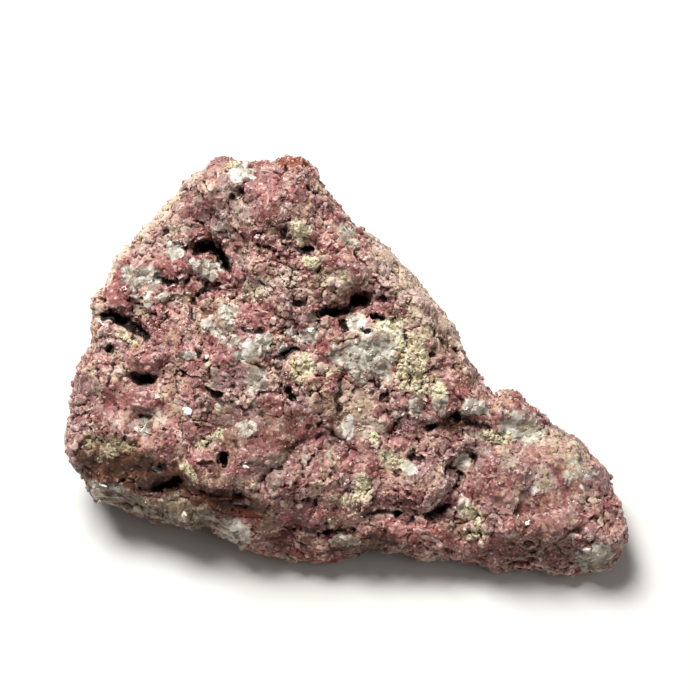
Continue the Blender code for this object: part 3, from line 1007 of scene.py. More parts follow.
Q, E, R, P, S, U, C = Mineral
PATCH_ROWS = {
    Q: (
        ((-20.7, 14.5), (2.3, 1.7), 0, 1, 0.6, 0.3), ((-30.3, 13.1), (2.8, 2.1), 0, 0.85, 0.36),
        ((-29.3, 9.7), (1.0, 1.0), 0, 1, 0.8, 0.2), ((-25.8, 17.6), (1.2, 1.6), 0, 0.7),
        ((-18.3, 6.8), (1.4, 2.8), 0, 0.8), ((-13.8, 2.4), (2.4, 1.9), 20, 1, 0.58, 0.15),
        ((-13.3, -1.6), (1.8, 1.5), 0, 1, 0.3), ((-23.3, 1.7), (1.2, 0.8), 0, 1, 0.4),
        ((-5.7, 4.8), (1.3, 1.1), 0, 0.8, 0.8), ((1.4, 7.0), (1.3, 1.5), 0, 1, 0.55, 0.2),
        ((2.4, 1.9), (4.9, 3.3), 5, 0.85, 0.42), ((5.6, 4.6), (3.0, 2.4), 30, 0.72, 0.55),
        ((10.2, -5.9), (1.1, 1.5), 0, 1, 0.3, 0.3), ((13.6, -5.0), (1.1, 1.7), 0, 1, 0.45, 0.35),
        ((18.8, -5.8), (2.2, 1.4), 0, 1, 0.4, 0.35), ((0.1, -8.9), (0.9, 1.8), 0, 1, 1.0, 0.15),
        ((8.9, -14.6), (1.1, 1.1)), ((16.7, -13.9), (0.9, 0.9), 0, 1, 0.6, 0.2),
        ((25.9, -8.6), (3.4, 2.7), -20, 0.8, 0.6), ((34.5, -15.6), (2.6, 3.2), -30, 0.5, 0.45),
        ((27.6, -17.5), (0.9, 0.9), 0, 0.7, 1.0), ((17.0, -20.2), (1.4, 1.5), 0, 0.8, 1.0, 0.2),
        ((36.4, -28.6), (2.6, 2.4), 0, 0.9, 0.65), ((-0.5, -25.4), (1.9, 1.0), 0, 1, 0.7, 0.1),
        ((-35.3, -18.9), (3.4, 2.0), -12, 1, 0.25, 0.7), ((-31.6, -20.0), (2.6, 1.5), -12, 1, 0.15),
        ((-24.8, -21.8), (6.2, 2.3), -12, 0.9, 0.2, 0.8), ((-16.8, -24.3), (3.0, 2.1), -25, 1, 0.6, 0.7),
        ((-20.9, 6.2), (0.9, 0.8), 0, 1, 0.8), ((-16.9, 8.6), (1.1, 0.8), 0, 1, 0.75),
        ((-16.4, 4.0), (1.2, 0.9), 0, 0.8, 0.45), ((-11.6, 4.5), (0.9, 0.9), 0, 1, 0.6),
        ((-9.5, 2.9), (1.1, 0.8), 20, 1, 0.6, 0.15), ((-8.3, 5.2), (0.9, 0.8), 0, 1, 0.4),
        ((-22.6, 15.6), (0.9, 0.8)), ((-27.2, 10.4), (0.8, 0.7)), ((-0.1, 19.6), (2.0, 1.7), 0, 0.7, 0.3),
        ((-15.2, 28.7), (1.9, 1.7), 0, 1, 0.95), ((-29.6, -8.7), (1.2, 1.2), 0, 1, 0.35),
        ((-14.9, -9.2), (1.3, 1.1), 0, 1, 0.6), ((-18.6, -6.0), (0.8, 0.7), 0, 1, 0.9, 0.2),
        ((-4.6, -12.8), (3.4, 2.8), 0, 0.38, 0.3),
    ),
    E: (
        ((-6.7, 19.9), (1.6, 1.8), 0, 1, 0.5, 0.4), ((-5.5, 15.8), (1.2, 1.1), 0, 1, 0.5, 0.25),
        ((-6.7, 0.2), (2.3, 2.3), 0, 1, 0.5, 0.2), ((9.2, 0.4), (2.4, 4.8)),
        ((6.2, 6.2), (3.0, 1.5), 10, 0.8), ((9.8, 3.8), (4.4, 4.0), -40, 0.52),
        ((11.7, -2.7), (2.8, 1.8), 0, 0.9), ((22.0, -10.3), (2.6, 1.2)),
        ((17.8, -21.0), (1.5, 2.2), 35, 1, 0.5, 0.2), ((18.8, -24.7), (1.6, 0.9), 20, 0.9),
        ((2.4, -17.6), (1.5, 2.3)), ((6.5, -13.5), (2.6, 2.2), 0, 0.7), ((4.2, -10.3), (0.9, 1.3)),
        ((-20.0, -10.6), (2.4, 0.8), 35), ((-16.9, 30.2), (1.1, 0.9)), ((-22.8, -15.5), (0.9, 2.3), 35, 0.8),
        ((-0.3, -19.5), (2.4, 0.9), 0, 0.8), ((-32.0, 4.6), (2.4, 1.1), -30, 0.7),
        ((31.0, -12.0), (7.5, 2.8), -38, 0.42), ((-37.2, -5.0), (1.6, 5.0), 0, 0.34),
        ((33.5, -12.5), (5.0, 1.8), -42, 0.52), ((3.0, -7.0), (3.4, 2.6), 0, 0.4),
        ((-34.8, -11.8), (4.6, 1.9), 0, 0.6),
    ),
    # P: pale patches; the long ones along the upper left rim are partly painted light on that lit rim.
    P: (
        ((-27.3, -3.8), (1.3, 1.3), 0, 0.8), ((-27.8, -7.4), (1.1, 1.3), 0, 0.8),
        ((-34.8, -0.8), (1.6, 1.3), 0, 0.75), ((-27.6, 24.0), (8.0, 1.6), 45),
        ((-35.2, 14.8), (6.4, 1.4), 62), ((-27.6, 20.6), (7.0, 3.2), 45, 0.5), ((-2.8, -0.6), (1.6, 1.2)),
        ((-13.0, 11.6), (2.6, 2.0)), ((-8.6, 13.2), (2.2, 1.6)), ((-1.0, 12.6), (2.0, 1.2)),
        ((31.0, -11.6), (6.0, 1.8), -35, 0.42), ((1.5, -5.5), (3.6, 2.6), 0, 0.7),
        ((10.6, 10.4), (13.0, 3.0), -53, 0.76), ((-4.6, -12.0), (3.0, 2.0), 0, 0.25),
        ((3.6, -8.8), (2.4, 2.2), 0, 0.75), ((28.6, -16.4), (1.6, 2.6), 0, 0.75),
        ((-18.6, 26.2), (2.4, 1.6), 0, 0.6), ((-8.4, 22.6), (1.9, 1.3), 0, 0.5),
    ),
    R: (
        ((-11.3, 25.2), (1.9, 3.5), 0, 1, 0.5, 0.45), ((-7.1, 25.0), (2.0, 1.7), 0, 1, 0.5, 0.3),
        ((-30.6, 1.5), (2.5, 2.2), 0, 1, 0.5, 0.35), ((-29.6, -4.7), (3.5, 1.4), 6, 1, 0.5, 0.2),
        ((-18.7, 1.6), (1.9, 1.5), 0, 1, 0.5, 0.1), ((16.9, -2.8), (1.4, 1.7), 0, 1, 0.5, 0.2),
        ((15.2, -5.6), (0.9, 1.7), 0, 1, 0.5, 0.1), ((0.2, -14.5), (1.4, 1.6), 0, 1, 0.5, 0.35),
        ((13.2, -25.0), (3.8, 2.1), -20, 1, 0.5, 0.35), ((-31.2, -21.3), (1.4, 1.7), 0, 1, 0.5, 0.5),
        ((-34.4, 10.8), (1.7, 3.6), 0, 1, 0.5, 0.25), ((-26.3, 15.2), (2.3, 2.1), 0, 1, 0.5, 0.35),
        ((8.3, -2.9), (1.0, 0.9), 0, 1, 0.5, 0.2), ((3.9, -15.2), (1.6, 1.3), 0, 1, 0.5, 0.1),
        ((-12.3, -10.7), (3.6, 2.6), 0, 0.75), ((-2.9, 15.8), (1.1, 0.8)),
        ((-32.0, 14.9), (1.7, 1.7), 0, 0.6), ((-21.7, 19.9), (1.6, 0.9), 15, 0.7, 0.5, 0.15),
        ((14.4, 1.2), (1.7, 1.5), 0, 0.6, 0.5, 0.1), ((-6.6, -8.6), (3.4, 2.2), -20, 0.6),
        ((-10.6, -5.8), (3.0, 1.4), -25, 0.6), ((-2.6, 2.3), (1.7, 1.8), 0, 0.8),
        ((-12.8, 8.3), (2.6, 1.8), 0, 0.6, 0.5, 0.2), ((20.4, -16.6), (4.2, 3.8), 0, 0.48),
        ((26.7, -23.0), (4.8, 2.7), 0, 0.52), ((30.8, -15.5), (1.2, 5.0), 20, 0.6),
        ((6.4, -25.0), (5.6, 2.6), 0, 0.85), ((21.5, -27.2), (4.2, 1.9), 0, 0.8),
        ((-7.1, -22.2), (4.6, 2.2), 0, 0.85),
    ),
    # S: brown staining, and painted shade along the lower front flank and under ledges.
    S: (
        ((-35.0, -12.6), (5.4, 3.0), 0, 0.9), ((-31.0, -15.6), (9.4, 2.4), -6),
        ((-20.0, -19.4), (9.0, 2.2), -8, 0.8), ((-9.0, -25.4), (7.0, 3.2), 0, 0.42),
        ((2.0, -26.6), (7.0, 2.4), 5, 0.55), ((13.8, 3.4), (2.4, 4.6), 28, 0.42),
        ((15.8, -8.0), (3.0, 1.5), 0, 0.8), ((-19.0, -7.4), (4.4, 3.0), -20, 0.5),
        ((-0.5, -5.6), (5.0, 2.6), 0, 0.42), ((25.5, -27.4), (10.0, 2.2), 2, 0.42),
        ((36.0, -27.6), (4.0, 3.2), 0, 0.4), ((-20.4, 8.9), (1.2, 2.6), 0, 0.5),
        ((28.0, -23.4), (4.4, 1.8), 0, 0.34), ((-16.5, -9.6), (4.2, 2.4), 0, 0.48),
        ((-21.0, -15.2), (3.0, 1.4), 0, 0.6), ((12.6, 7.6), (1.8, 1.6), 0, 0.4),
        ((-27.0, -21.5), (11.0, 3.4), -12, 0.6), ((-9.5, -9.0), (7.5, 4.5), -10, 0.42),
    ),
    C: (
        ((27.0, -17.0), (15.0, 10.0), -25), ((-13.0, -11.0), (11.0, 7.5)),
        ((9.4, 13.0), (11.0, 3.4), -54, 0.6), ((-30.0, -13.0), (11.0, 5.0), -8, 0.45),
        ((-31.0, -5.0), (10.0, 7.0), -10, 0.75), ((0.0, -6.5), (6.5, 5.0), 0, 0.7),
        ((-20.0, -3.0), (6.0, 4.6), 0, 0.6), ((8.0, -15.0), (9.0, 5.0), -10, 0.6),
        ((-20.0, 24.0), (6.0, 8.0), -35, 0.5),
    ),
    U: (
        ((-8.1, 30.3), (2.3, 1.0)), ((-5.5, -28.3), (1.7, 0.9)), ((-21.2, 19.7), (0.9, 0.4), 0, 0.7),
        ((-14.4, -21.6), (2.2, 0.8), -10),
    ),
}
PATCHES = tuple(Patch(mineral, *row) for mineral, rows in PATCH_ROWS.items() for row in rows)
VUGS = (
    Vug(((-21.9, 17.7), (-20.5, 18.2), (-19.1, 17.2), (-18.1, 15.8), (-17.6, 14.6)), 0.85, 4.0),
    Vug(((-36.2, 7.6), (-34.5, 7.7), (-33.0, 6.7)), 0.75, 3.5),
    Vug(((-33.0, 6.7), (-31.1, 5.6), (-29.4, 4.7)), 0.55, 2.0),
    Vug(((-35.3, 2.2), (-34.7, 3.2)), 0.6, 2.4),
    Vug(((-31.3, -1.4), (-29.2, -1.7)), 0.95, 4.5),
    Vug(((-28.2, 12.8), (-25.8, 12.5), (-23.3, 13.1)), 0.45, 1.2),
    Vug(((-22.6, 10.2), (-20.2, 12.0), (-16.8, 11.6)), 0.45, 0.9),
    Vug(((-16.8, 25.3),), 0.6, 1.6),
    Vug(((-15.5, 25.8),), 0.5, 1.6),
    Vug(((-26.4, 20.1), (-24.4, 19.9)), 0.4, 1.0),
    Vug(((-9.5, 19.0), (-9.0, 19.8)), 0.45, 1.4),
    Vug(((-6.4, 17.5), (-5.3, 17.4)), 0.6, 2.0),
    Vug(((-9.0, 18.0), (-7.6, 17.4)), 0.35, 1.0),
    Vug(((-7.4, 9.7), (-6.5, 9.5)), 0.5, 1.8),
    Vug(((1.0, 10.2), (2.7, 9.9)), 0.95, 4.5),
    Vug(((-3.4, 8.2), (-1.8, 8.0)), 0.75, 3.6),
    Vug(((-1.4, 8.0), (0.2, 8.7), (0.9, 9.6)), 0.5, 2.2),
    Vug(((-0.6, 7.0), (-0.4, 5.9)), 0.5, 1.6),
    Vug(((2.0, 5.3), (3.2, 5.0)), 0.45, 2.0),
    Vug(((3.8, 7.5), (5.2, 7.3)), 0.45, 1.4),
    Vug(((4.6, 9.6), (8.6, 9.8), (11.0, 8.4)), 0.35, 0.7),
    Vug(((-4.7, 8.3), (-4.4, 6.3), (-4.4, 4.7)), 0.35, 1.0),
    Vug(((-10.8, 1.4), (-9.6, 2.0), (-7.8, 3.0)), 0.5, 1.8),
    Vug(((-8.6, -3.6), (-8.2, -4.2)), 0.65, 2.6),
    Vug(((-8.2, -4.3), (-5.9, -6.2)), 0.35, 1.0),
    Vug(((-20.4, -3.3), (-18.8, -4.4), (-16.7, -5.4)), 0.4, 1.1),
    Vug(((-30.6, -7.6), (-28.8, -7.4)), 0.4, 1.1),
    Vug(((-18.0, -12.9), (-17.8, -14.1)), 0.65, 2.6),
    Vug(((-16.6, -10.6), (-16.2, -11.4)), 0.4, 1.0),
    Vug(((-28.9, -14.7), (-27.4, -14.8)), 0.55, 1.6),
    Vug(((-28.2, -17.7), (-26.4, -17.2), (-24.8, -16.6)), 0.75, 2.6),
    Vug(((-24.4, -18.0), (-19.1, -18.3), (-13.6, -17.8)), 0.35, 0.7),
    Vug(((12.3, -8.9), (12.8, -8.7)), 0.7, 3.4),
    Vug(((9.4, -13.0), (10.7, -13.3)), 0.4, 1.3),
    Vug(((-15.6, 5.9), (-14.2, 5.2), (-12.6, 5.6)), 0.4, 1.1),
    Vug(((12.4, 5.6), (12.9, 3.4), (12.4, 1.4)), 0.35, 0.8),
    Vug(((15.2, 4.4), (16.4, 2.2)), 0.35, 0.7),
    Vug(((9.2, 1.0), (9.8, -0.2)), 0.4, 0.9),
    Vug(((18.0, -13.2), (18.4, -14.0)), 0.45, 1.4),
    Vug(((21.2, -8.9), (19.4, -8.7), (17.7, -8.1)), 0.40, 1.1),
    Vug(((15.2, -7.1), (16.1, -7.9)), 0.55, 1.6),
    Vug(((16.8, -15.8), (16.2, -17.4)), 0.45, 1.3),
    Vug(((14.6, -20.4), (13.2, -21.4), (11.8, -21.8)), 0.55, 1.8),
    Vug(((8.0, -21.4), (4.8, -21.2), (2.2, -21.9)), 0.4, 1.2),
    Vug(((0.6, -24.0), (-1.2, -24.4)), 0.45, 1.2),
    Vug(((-0.9, -1.5), (-0.9, -4.2), (-1.4, -6.9)), 0.4, 1.0),
    Vug(
        ((-13.2, -17.9), (-12.7, -16.4), (-9.2, -14.0), (-8.0, -12.0), (-6.3, -10.4), (-1.2, -10.0)), 0.4, 0.7
    ),
    Vug(((18.0, -24.2), (21.0, -24.6)), 0.35, 0.8),
    Vug(((30.2, -26.2), (32.4, -24.6), (34.6, -23.6)), 0.35, 0.8),
    Vug(((25.6, -27.0), (27.8, -27.4)), 0.4, 1.0),
    Vug(((-7.0, -23.8), (-2.4, -24.6)), 0.35, 0.9),
    Vug(((-10.4, -19.0), (-4.0, -20.0)), 0.35, 0.8),
)
FLAKES = ((-23.3, -6.3, 1.0), (26.6, -23.0, 0.6), (-20.4, 1.4, 0.5), (-36.5, 6.5, 0.5), (-14.6, -14.2, 0.5))
NOTCH = ((20.9, -3.2), (22.3, -5.1), (22.6, -4.8), (23.3, -3.6))


# --------------------------------------------------------------------------- modelling helpers


def choose(*objects: bpy.types.Object) -> None:
    """Selects these objects alone and makes the first of them active.

    Args:
        objects: The objects.
    """
    if bpy.context.object and bpy.context.object.mode != "OBJECT":
        bpy.ops.object.mode_set(mode="OBJECT")
    bpy.ops.object.select_all(action="DESELECT")
    for item in objects:
        item.select_set(True)
    if objects:
        bpy.context.view_layer.objects.active = objects[0]


def modify(item: bpy.types.Object, kind: str, **settings: object) -> None:
    """Adds a modifier and applies it.

    Args:
        item: The object.
        kind: The modifier's type.
        settings: Its settings.
    """
    choose(item)
    modifier = item.modifiers.new(kind.lower(), kind)
    for name, value in settings.items():
        setattr(modifier, name, value)
    bpy.ops.object.modifier_apply(modifier=modifier.name)


def points_of(item: bpy.types.Object) -> np.ndarray:
    """The mesh's points, in millimetres.

    Args:
        item: The object.

    Returns:
        One row a point.
    """
    flat = np.empty(len(item.data.vertices) * 3)
    item.data.vertices.foreach_get("co", flat)
    return flat.reshape(-1, 3) / MM


def triangles_of(item: bpy.types.Object) -> np.ndarray:
    """The point numbers of a mesh's triangles.

    Args:
        item: The object, whose faces are all triangles.

    Returns:
        One row a triangle.
    """
    flat = np.empty(len(item.data.polygons) * 3, np.int64)
    item.data.polygons.foreach_get("vertices", flat)
    return flat.reshape(-1, 3)


def normals_of(item: bpy.types.Object) -> np.ndarray:
    """The mesh's point normals.

    Args:
        item: The object.

    Returns:
        One row a point.
    """
    flat = np.empty(len(item.data.vertices) * 3)
    item.data.vertices.foreach_get("normal", flat)
    return flat.reshape(-1, 3)


def move_points(item: bpy.types.Object, points: np.ndarray) -> None:
    """Puts the mesh's points in new places.

    Args:
        item: The object.
        points: Their new places, in millimetres.
    """
    item.data.vertices.foreach_set("co", (points * MM).ravel())
    item.data.update()


def set_attribute(mesh: bpy.types.Mesh, name: str, values: np.ndarray) -> None:
    """Keeps a number on each point.

    Args:
        mesh: The mesh.
        name: The attribute's name.
        values: One number a point.
    """
    layer = mesh.attributes.get(name) or mesh.attributes.new(name, "FLOAT", "POINT")
    layer.data.foreach_set("value", np.ascontiguousarray(values, dtype=np.float32))


def place_mesh(name: str, mesh: bpy.types.Mesh) -> bpy.types.Object:
    """Puts a mesh in the scene as an object at the origin.

    Args:
        name: The object's name.
        mesh: The mesh, which takes the same name.

    Returns:
        The object.
    """
    mesh.name = name
    item = bpy.data.objects.new(name, mesh)
    bpy.context.scene.collection.objects.link(item)
    return item


def add_copies(name: str, points: np.ndarray, faces: np.ndarray, **marks: np.ndarray) -> bpy.types.Object:
    """Adds one mesh that holds every placed copy of a model.

    Args:
        name: The object's name.
        points: The copies' points, in millimetres.
        faces: Their triangles, as rows of point numbers.
        marks: The numbers to keep on the points, by attribute name.

    Returns:
        The object.
    """
    mesh = bpy.data.meshes.new(name)
    mesh.from_pydata((points * MM).tolist(), [], faces.tolist())
    for mark, values in marks.items():
        set_attribute(mesh, mark, values)
    mesh.update()
    return place_mesh(name, mesh)


def take_model(model: bpy.types.Object) -> tuple[np.ndarray, np.ndarray]:
    """Reads a model that is to be copied, and removes it.

    Args:
        model: The model.

    Returns:
        Its points, in millimetres, and its triangles.
    """
    points, triangles = points_of(model), triangles_of(model)
    bpy.data.objects.remove(model)
    return points, triangles


class Neighbours:
    """Averages over the points that a mesh's edges join."""

    def __init__(self, mesh: bpy.types.Mesh) -> None:
        """Reads the mesh's edges.

        Args:
            mesh: The mesh.
        """
        edges = np.empty(len(mesh.edges) * 2, np.int64)
        mesh.edges.foreach_get("vertices", edges)
        self.first, self.second = edges.reshape(-1, 2).T
        self.count = len(mesh.vertices)
        self.degree = np.maximum(self._sum(np.ones(self.count)), 1.0)

    def _sum(self, values: np.ndarray) -> np.ndarray:
        """The sum over each point's neighbours.

        Args:
            values: One number a point.

        Returns:
            One sum a point.
        """
        forward = np.bincount(self.first, values[self.second], self.count)
        return forward + np.bincount(self.second, values[self.first], self.count)

    def smooth(self, values: np.ndarray, rounds: int) -> np.ndarray:
        """Smooths numbers or vectors over the surface.

        Args:
            values: One number or one row a point.
            rounds: How many times each takes the mean of its neighbours.

        Returns:
            The smoothed values.
        """
        columns = values.reshape(self.count, -1)
        for _ in range(rounds):
            columns = np.stack([self._sum(c) / self.degree for c in columns.T], axis=1)
        return columns.reshape(values.shape)


def mark_relief(item: bpy.types.Object) -> None:
    """Keeps on each point of a finely meshed piece how hollow or raised the surface is there, which the
    finish turns into painted shade in hollows and a painted highlight on crests.

    Args:
        item: The piece.
    """
    points, normals = points_of(item), normals_of(item)
    around = Neighbours(item.data)
    near = np.einsum("ij,ij->i", points - around.smooth(points, 3), normals)
    wide = np.einsum("ij,ij->i", points - around.smooth(points, 14), normals)
    relief = near / FINE_RELIEF + wide / BROAD_RELIEF
    set_attribute(item.data, "hollow", np.clip(-relief * 0.5, 0.0, 1.0))
    set_attribute(item.data, "crest", np.clip(relief * 0.4, 0.0, 1.0))


# --------------------------------------------------------------------------- the minerals


@dataclass(frozen=True)
class HiddenPatch:
    """A round patch of one mineral on a side away from the show face."""

    mineral: Mineral
    middle: np.ndarray
    radius: float
    tone: float

    def share(self, points: np.ndarray) -> np.ndarray:
        """How far inside the patch each point is.

        Args:
            points: Points in millimetres.

        Returns:
            1 at the middle, 0 on the outline, negative beyond.
        """
        return 1.0 - np.linalg.norm(points - self.middle, axis=1) / self.radius


@dataclass
class Minerals:
    """What the stone is made of at any point of it."""

    face: ShowFace
    packings: tuple[Packing, ...] = (Packing(4.0, 3), Packing(1.9, 5), Packing(0.95, 9))
    slow_swirl: Clouds = Clouds(3.2, 50)
    quick_swirl: Clouds = Clouds(1.1, 60)
    edge_clouds: Clouds = Clouds(2.2, 61, 3)
    drift_clouds: Clouds = Clouds(2.2, 90, 3)
    tone_clouds: Clouds = Clouds(5.0, 35)
    pit_clouds: Clouds = Clouds(4.6, 143, 3)
    glass_clouds: Clouds = Clouds(3.4, 133, 2)
    calm_clouds: Clouds = Clouds(8.0, 171, 2)
    show_depth: float = -3.0
    edge_softness: float = 1.2
    # The vug depth from which the painted shade in a vug is blackest.
    blackest_depth: float = 2.6
    hidden_count: int = 120
    hidden_radii: Pair = (1.0, 3.4)
    stain_spread: float = 1.5
    hidden_seed: int = 412
    hidden: list[HiddenPatch] = field(default_factory=list)

    def scatter(self, points: np.ndarray) -> None:
        """Chooses round patches of every mineral for the sides away from the show face.

        Args:
            points: The stone's surface.
        """
        rng = np.random.default_rng(self.hidden_seed)
        away = np.flatnonzero(self.face.read(points)[:, 2] < self.show_depth)
        kinds = [Q] * 6 + [E] * 4 + [R] * 8 + [P] * 2 + [S] * 5 + [U]
        for index in rng.choice(away, self.hidden_count):
            kind = kinds[rng.integers(len(kinds))]
            radius = rng.uniform(*self.hidden_radii) * (self.stain_spread if kind is S else 1.0)
            self.hidden.append(HiddenPatch(kind, points[index].copy(), radius, rng.uniform(0.2, 1.0)))

    def swirled(self, points: np.ndarray) -> np.ndarray:
        """Points pushed about, so that grains packed among them have crooked outlines.

        Args:
            points: Points in millimetres.

        Returns:
            The pushed points.
        """
        return points + 0.55 * self.slow_swirl.push(points) + 0.25 * self.quick_swirl.push(points)

    def pits(self, points: np.ndarray) -> np.ndarray:
        """How far inside a pit each point is, on the sides away from the show face.

        Args:
            points: The surface's points.

        Returns:
            Between 0 and 1 for each point.
        """
        hidden = self.face.read(points)[:, 2] < self.show_depth
        return smooth_step((self.pit_clouds.at(points) - 0.70) / 0.30) * hidden

    def glassy(self, points: np.ndarray) -> np.ndarray:
        """How far the rock is large glassy crystals rather than sugar.

        Args:
            points: The surface's points.

        Returns:
            Between 0 and 1 for each point.
        """
        return smooth_step(0.5 + 1.7 * self.glass_clouds.at(points))

    def calm_behind(self, points: np.ndarray) -> np.ndarray:
        """How calm the surface is on the sides away from the show face.

        Args:
            points: The surface's points.

        Returns:
            Between 0 and 1 for each point.
        """
        return 0.8 * smooth_step(0.5 + 1.6 * self.calm_clouds.at(points))

    def smoothness(self, points: np.ndarray) -> np.ndarray:
        """How smooth the surface is because it is quartz or a clear crystal.

        Args:
            points: The surface's points.

        Returns:
            Between 0 and 1 for each point.
        """
        places = self.face.read(points)
        smooth = np.zeros(len(points))
        for patch in PATCHES:
            steep = {Q: 3.0, R: 3.0, C: 1.6}.get(patch.mineral, 0.0)
            smooth = np.maximum(smooth, patch.strength * smooth_step(patch.share(places) * steep))
        return np.where(places[:, 2] > self.show_depth, smooth, self.calm_behind(points))

    def _shares(self, points: np.ndarray, ragged: np.ndarray) -> Iterator[tuple[Mineral, np.ndarray, float]]:
        """Every patch's hold on the surface, first on the show face and then on the other sides.

        Args:
            points: The surface's points.
            ragged: The same points in the leaning frame, with crooked edges.

        Yields:
            The patch's mineral, its share of each point, and its tone.
        """
        facing = self.face.read(points)[:, 2] > self.show_depth
        for patch in PATCHES:
            inside = smooth_step(0.5 + patch.share(ragged) * self.edge_softness)
            yield patch.mineral, patch.strength * inside * facing, patch.tone
        adrift = points + 0.8 * self.drift_clouds.push(points)
        for patch in self.hidden:
            inside = smooth_step(0.5 + patch.share(adrift) * self.edge_softness)
            yield patch.mineral, inside * ~facing, patch.tone

    def at(self, points: np.ndarray) -> dict[str, np.ndarray]:
        """What is at each point.

        Args:
            points: Points in millimetres.

        Returns:
            A number between 0 and 1 a point for each attribute that the rock's finish reads.
        """
        ragged = self.face.read(points)
        facing = ragged[:, 2] > self.show_depth
        ragged[:, :2] += 0.7 * self.edge_clouds.push(points, 2)
        marks = {mineral: np.zeros(len(points)) for mineral in Mineral}
        tone = 0.5 + 0.4 * self.tone_clouds.at(points)
        for mineral, share, patch_tone in self._shares(points, ragged):
            marks[mineral] = np.maximum(marks[mineral], share)
            if mineral is Q:
                tone = np.where(share > 0.1, patch_tone, tone)
        marks[C] = np.where(facing, marks[C], self.calm_behind(points))
        # Painted shade in the vugs, blacker the deeper they are, and in the pits on the hidden sides.
        pore = np.zeros(len(points))
        for vug in VUGS:
            blackness = min(1.0, vug.depth / self.blackest_depth)
            pore = np.maximum(pore, blackness * smooth_step(2.0 * vug.share(ragged)))
        found = {mineral.value: values for mineral, values in marks.items()}
        found["tone"] = tone
        found["pore"] = np.maximum(pore * facing, 0.8 * self.pits(points))
        found["glassy"] = self.glassy(points)
        swirled = self.swirled(points)
        for name, packing in zip(("clump", "grit", "grain"), self.packings):
            found[name] = packing.at(swirled)[2][:, 3]
        return found

    def mark(self, item: bpy.types.Object) -> None:
        """Keeps on each point of a piece what it is made of.

        Args:
            item: The piece.
        """
        for name, values in self.at(points_of(item)).items():
            set_attribute(item.data, name, values)


# --------------------------------------------------------------------------- the stone


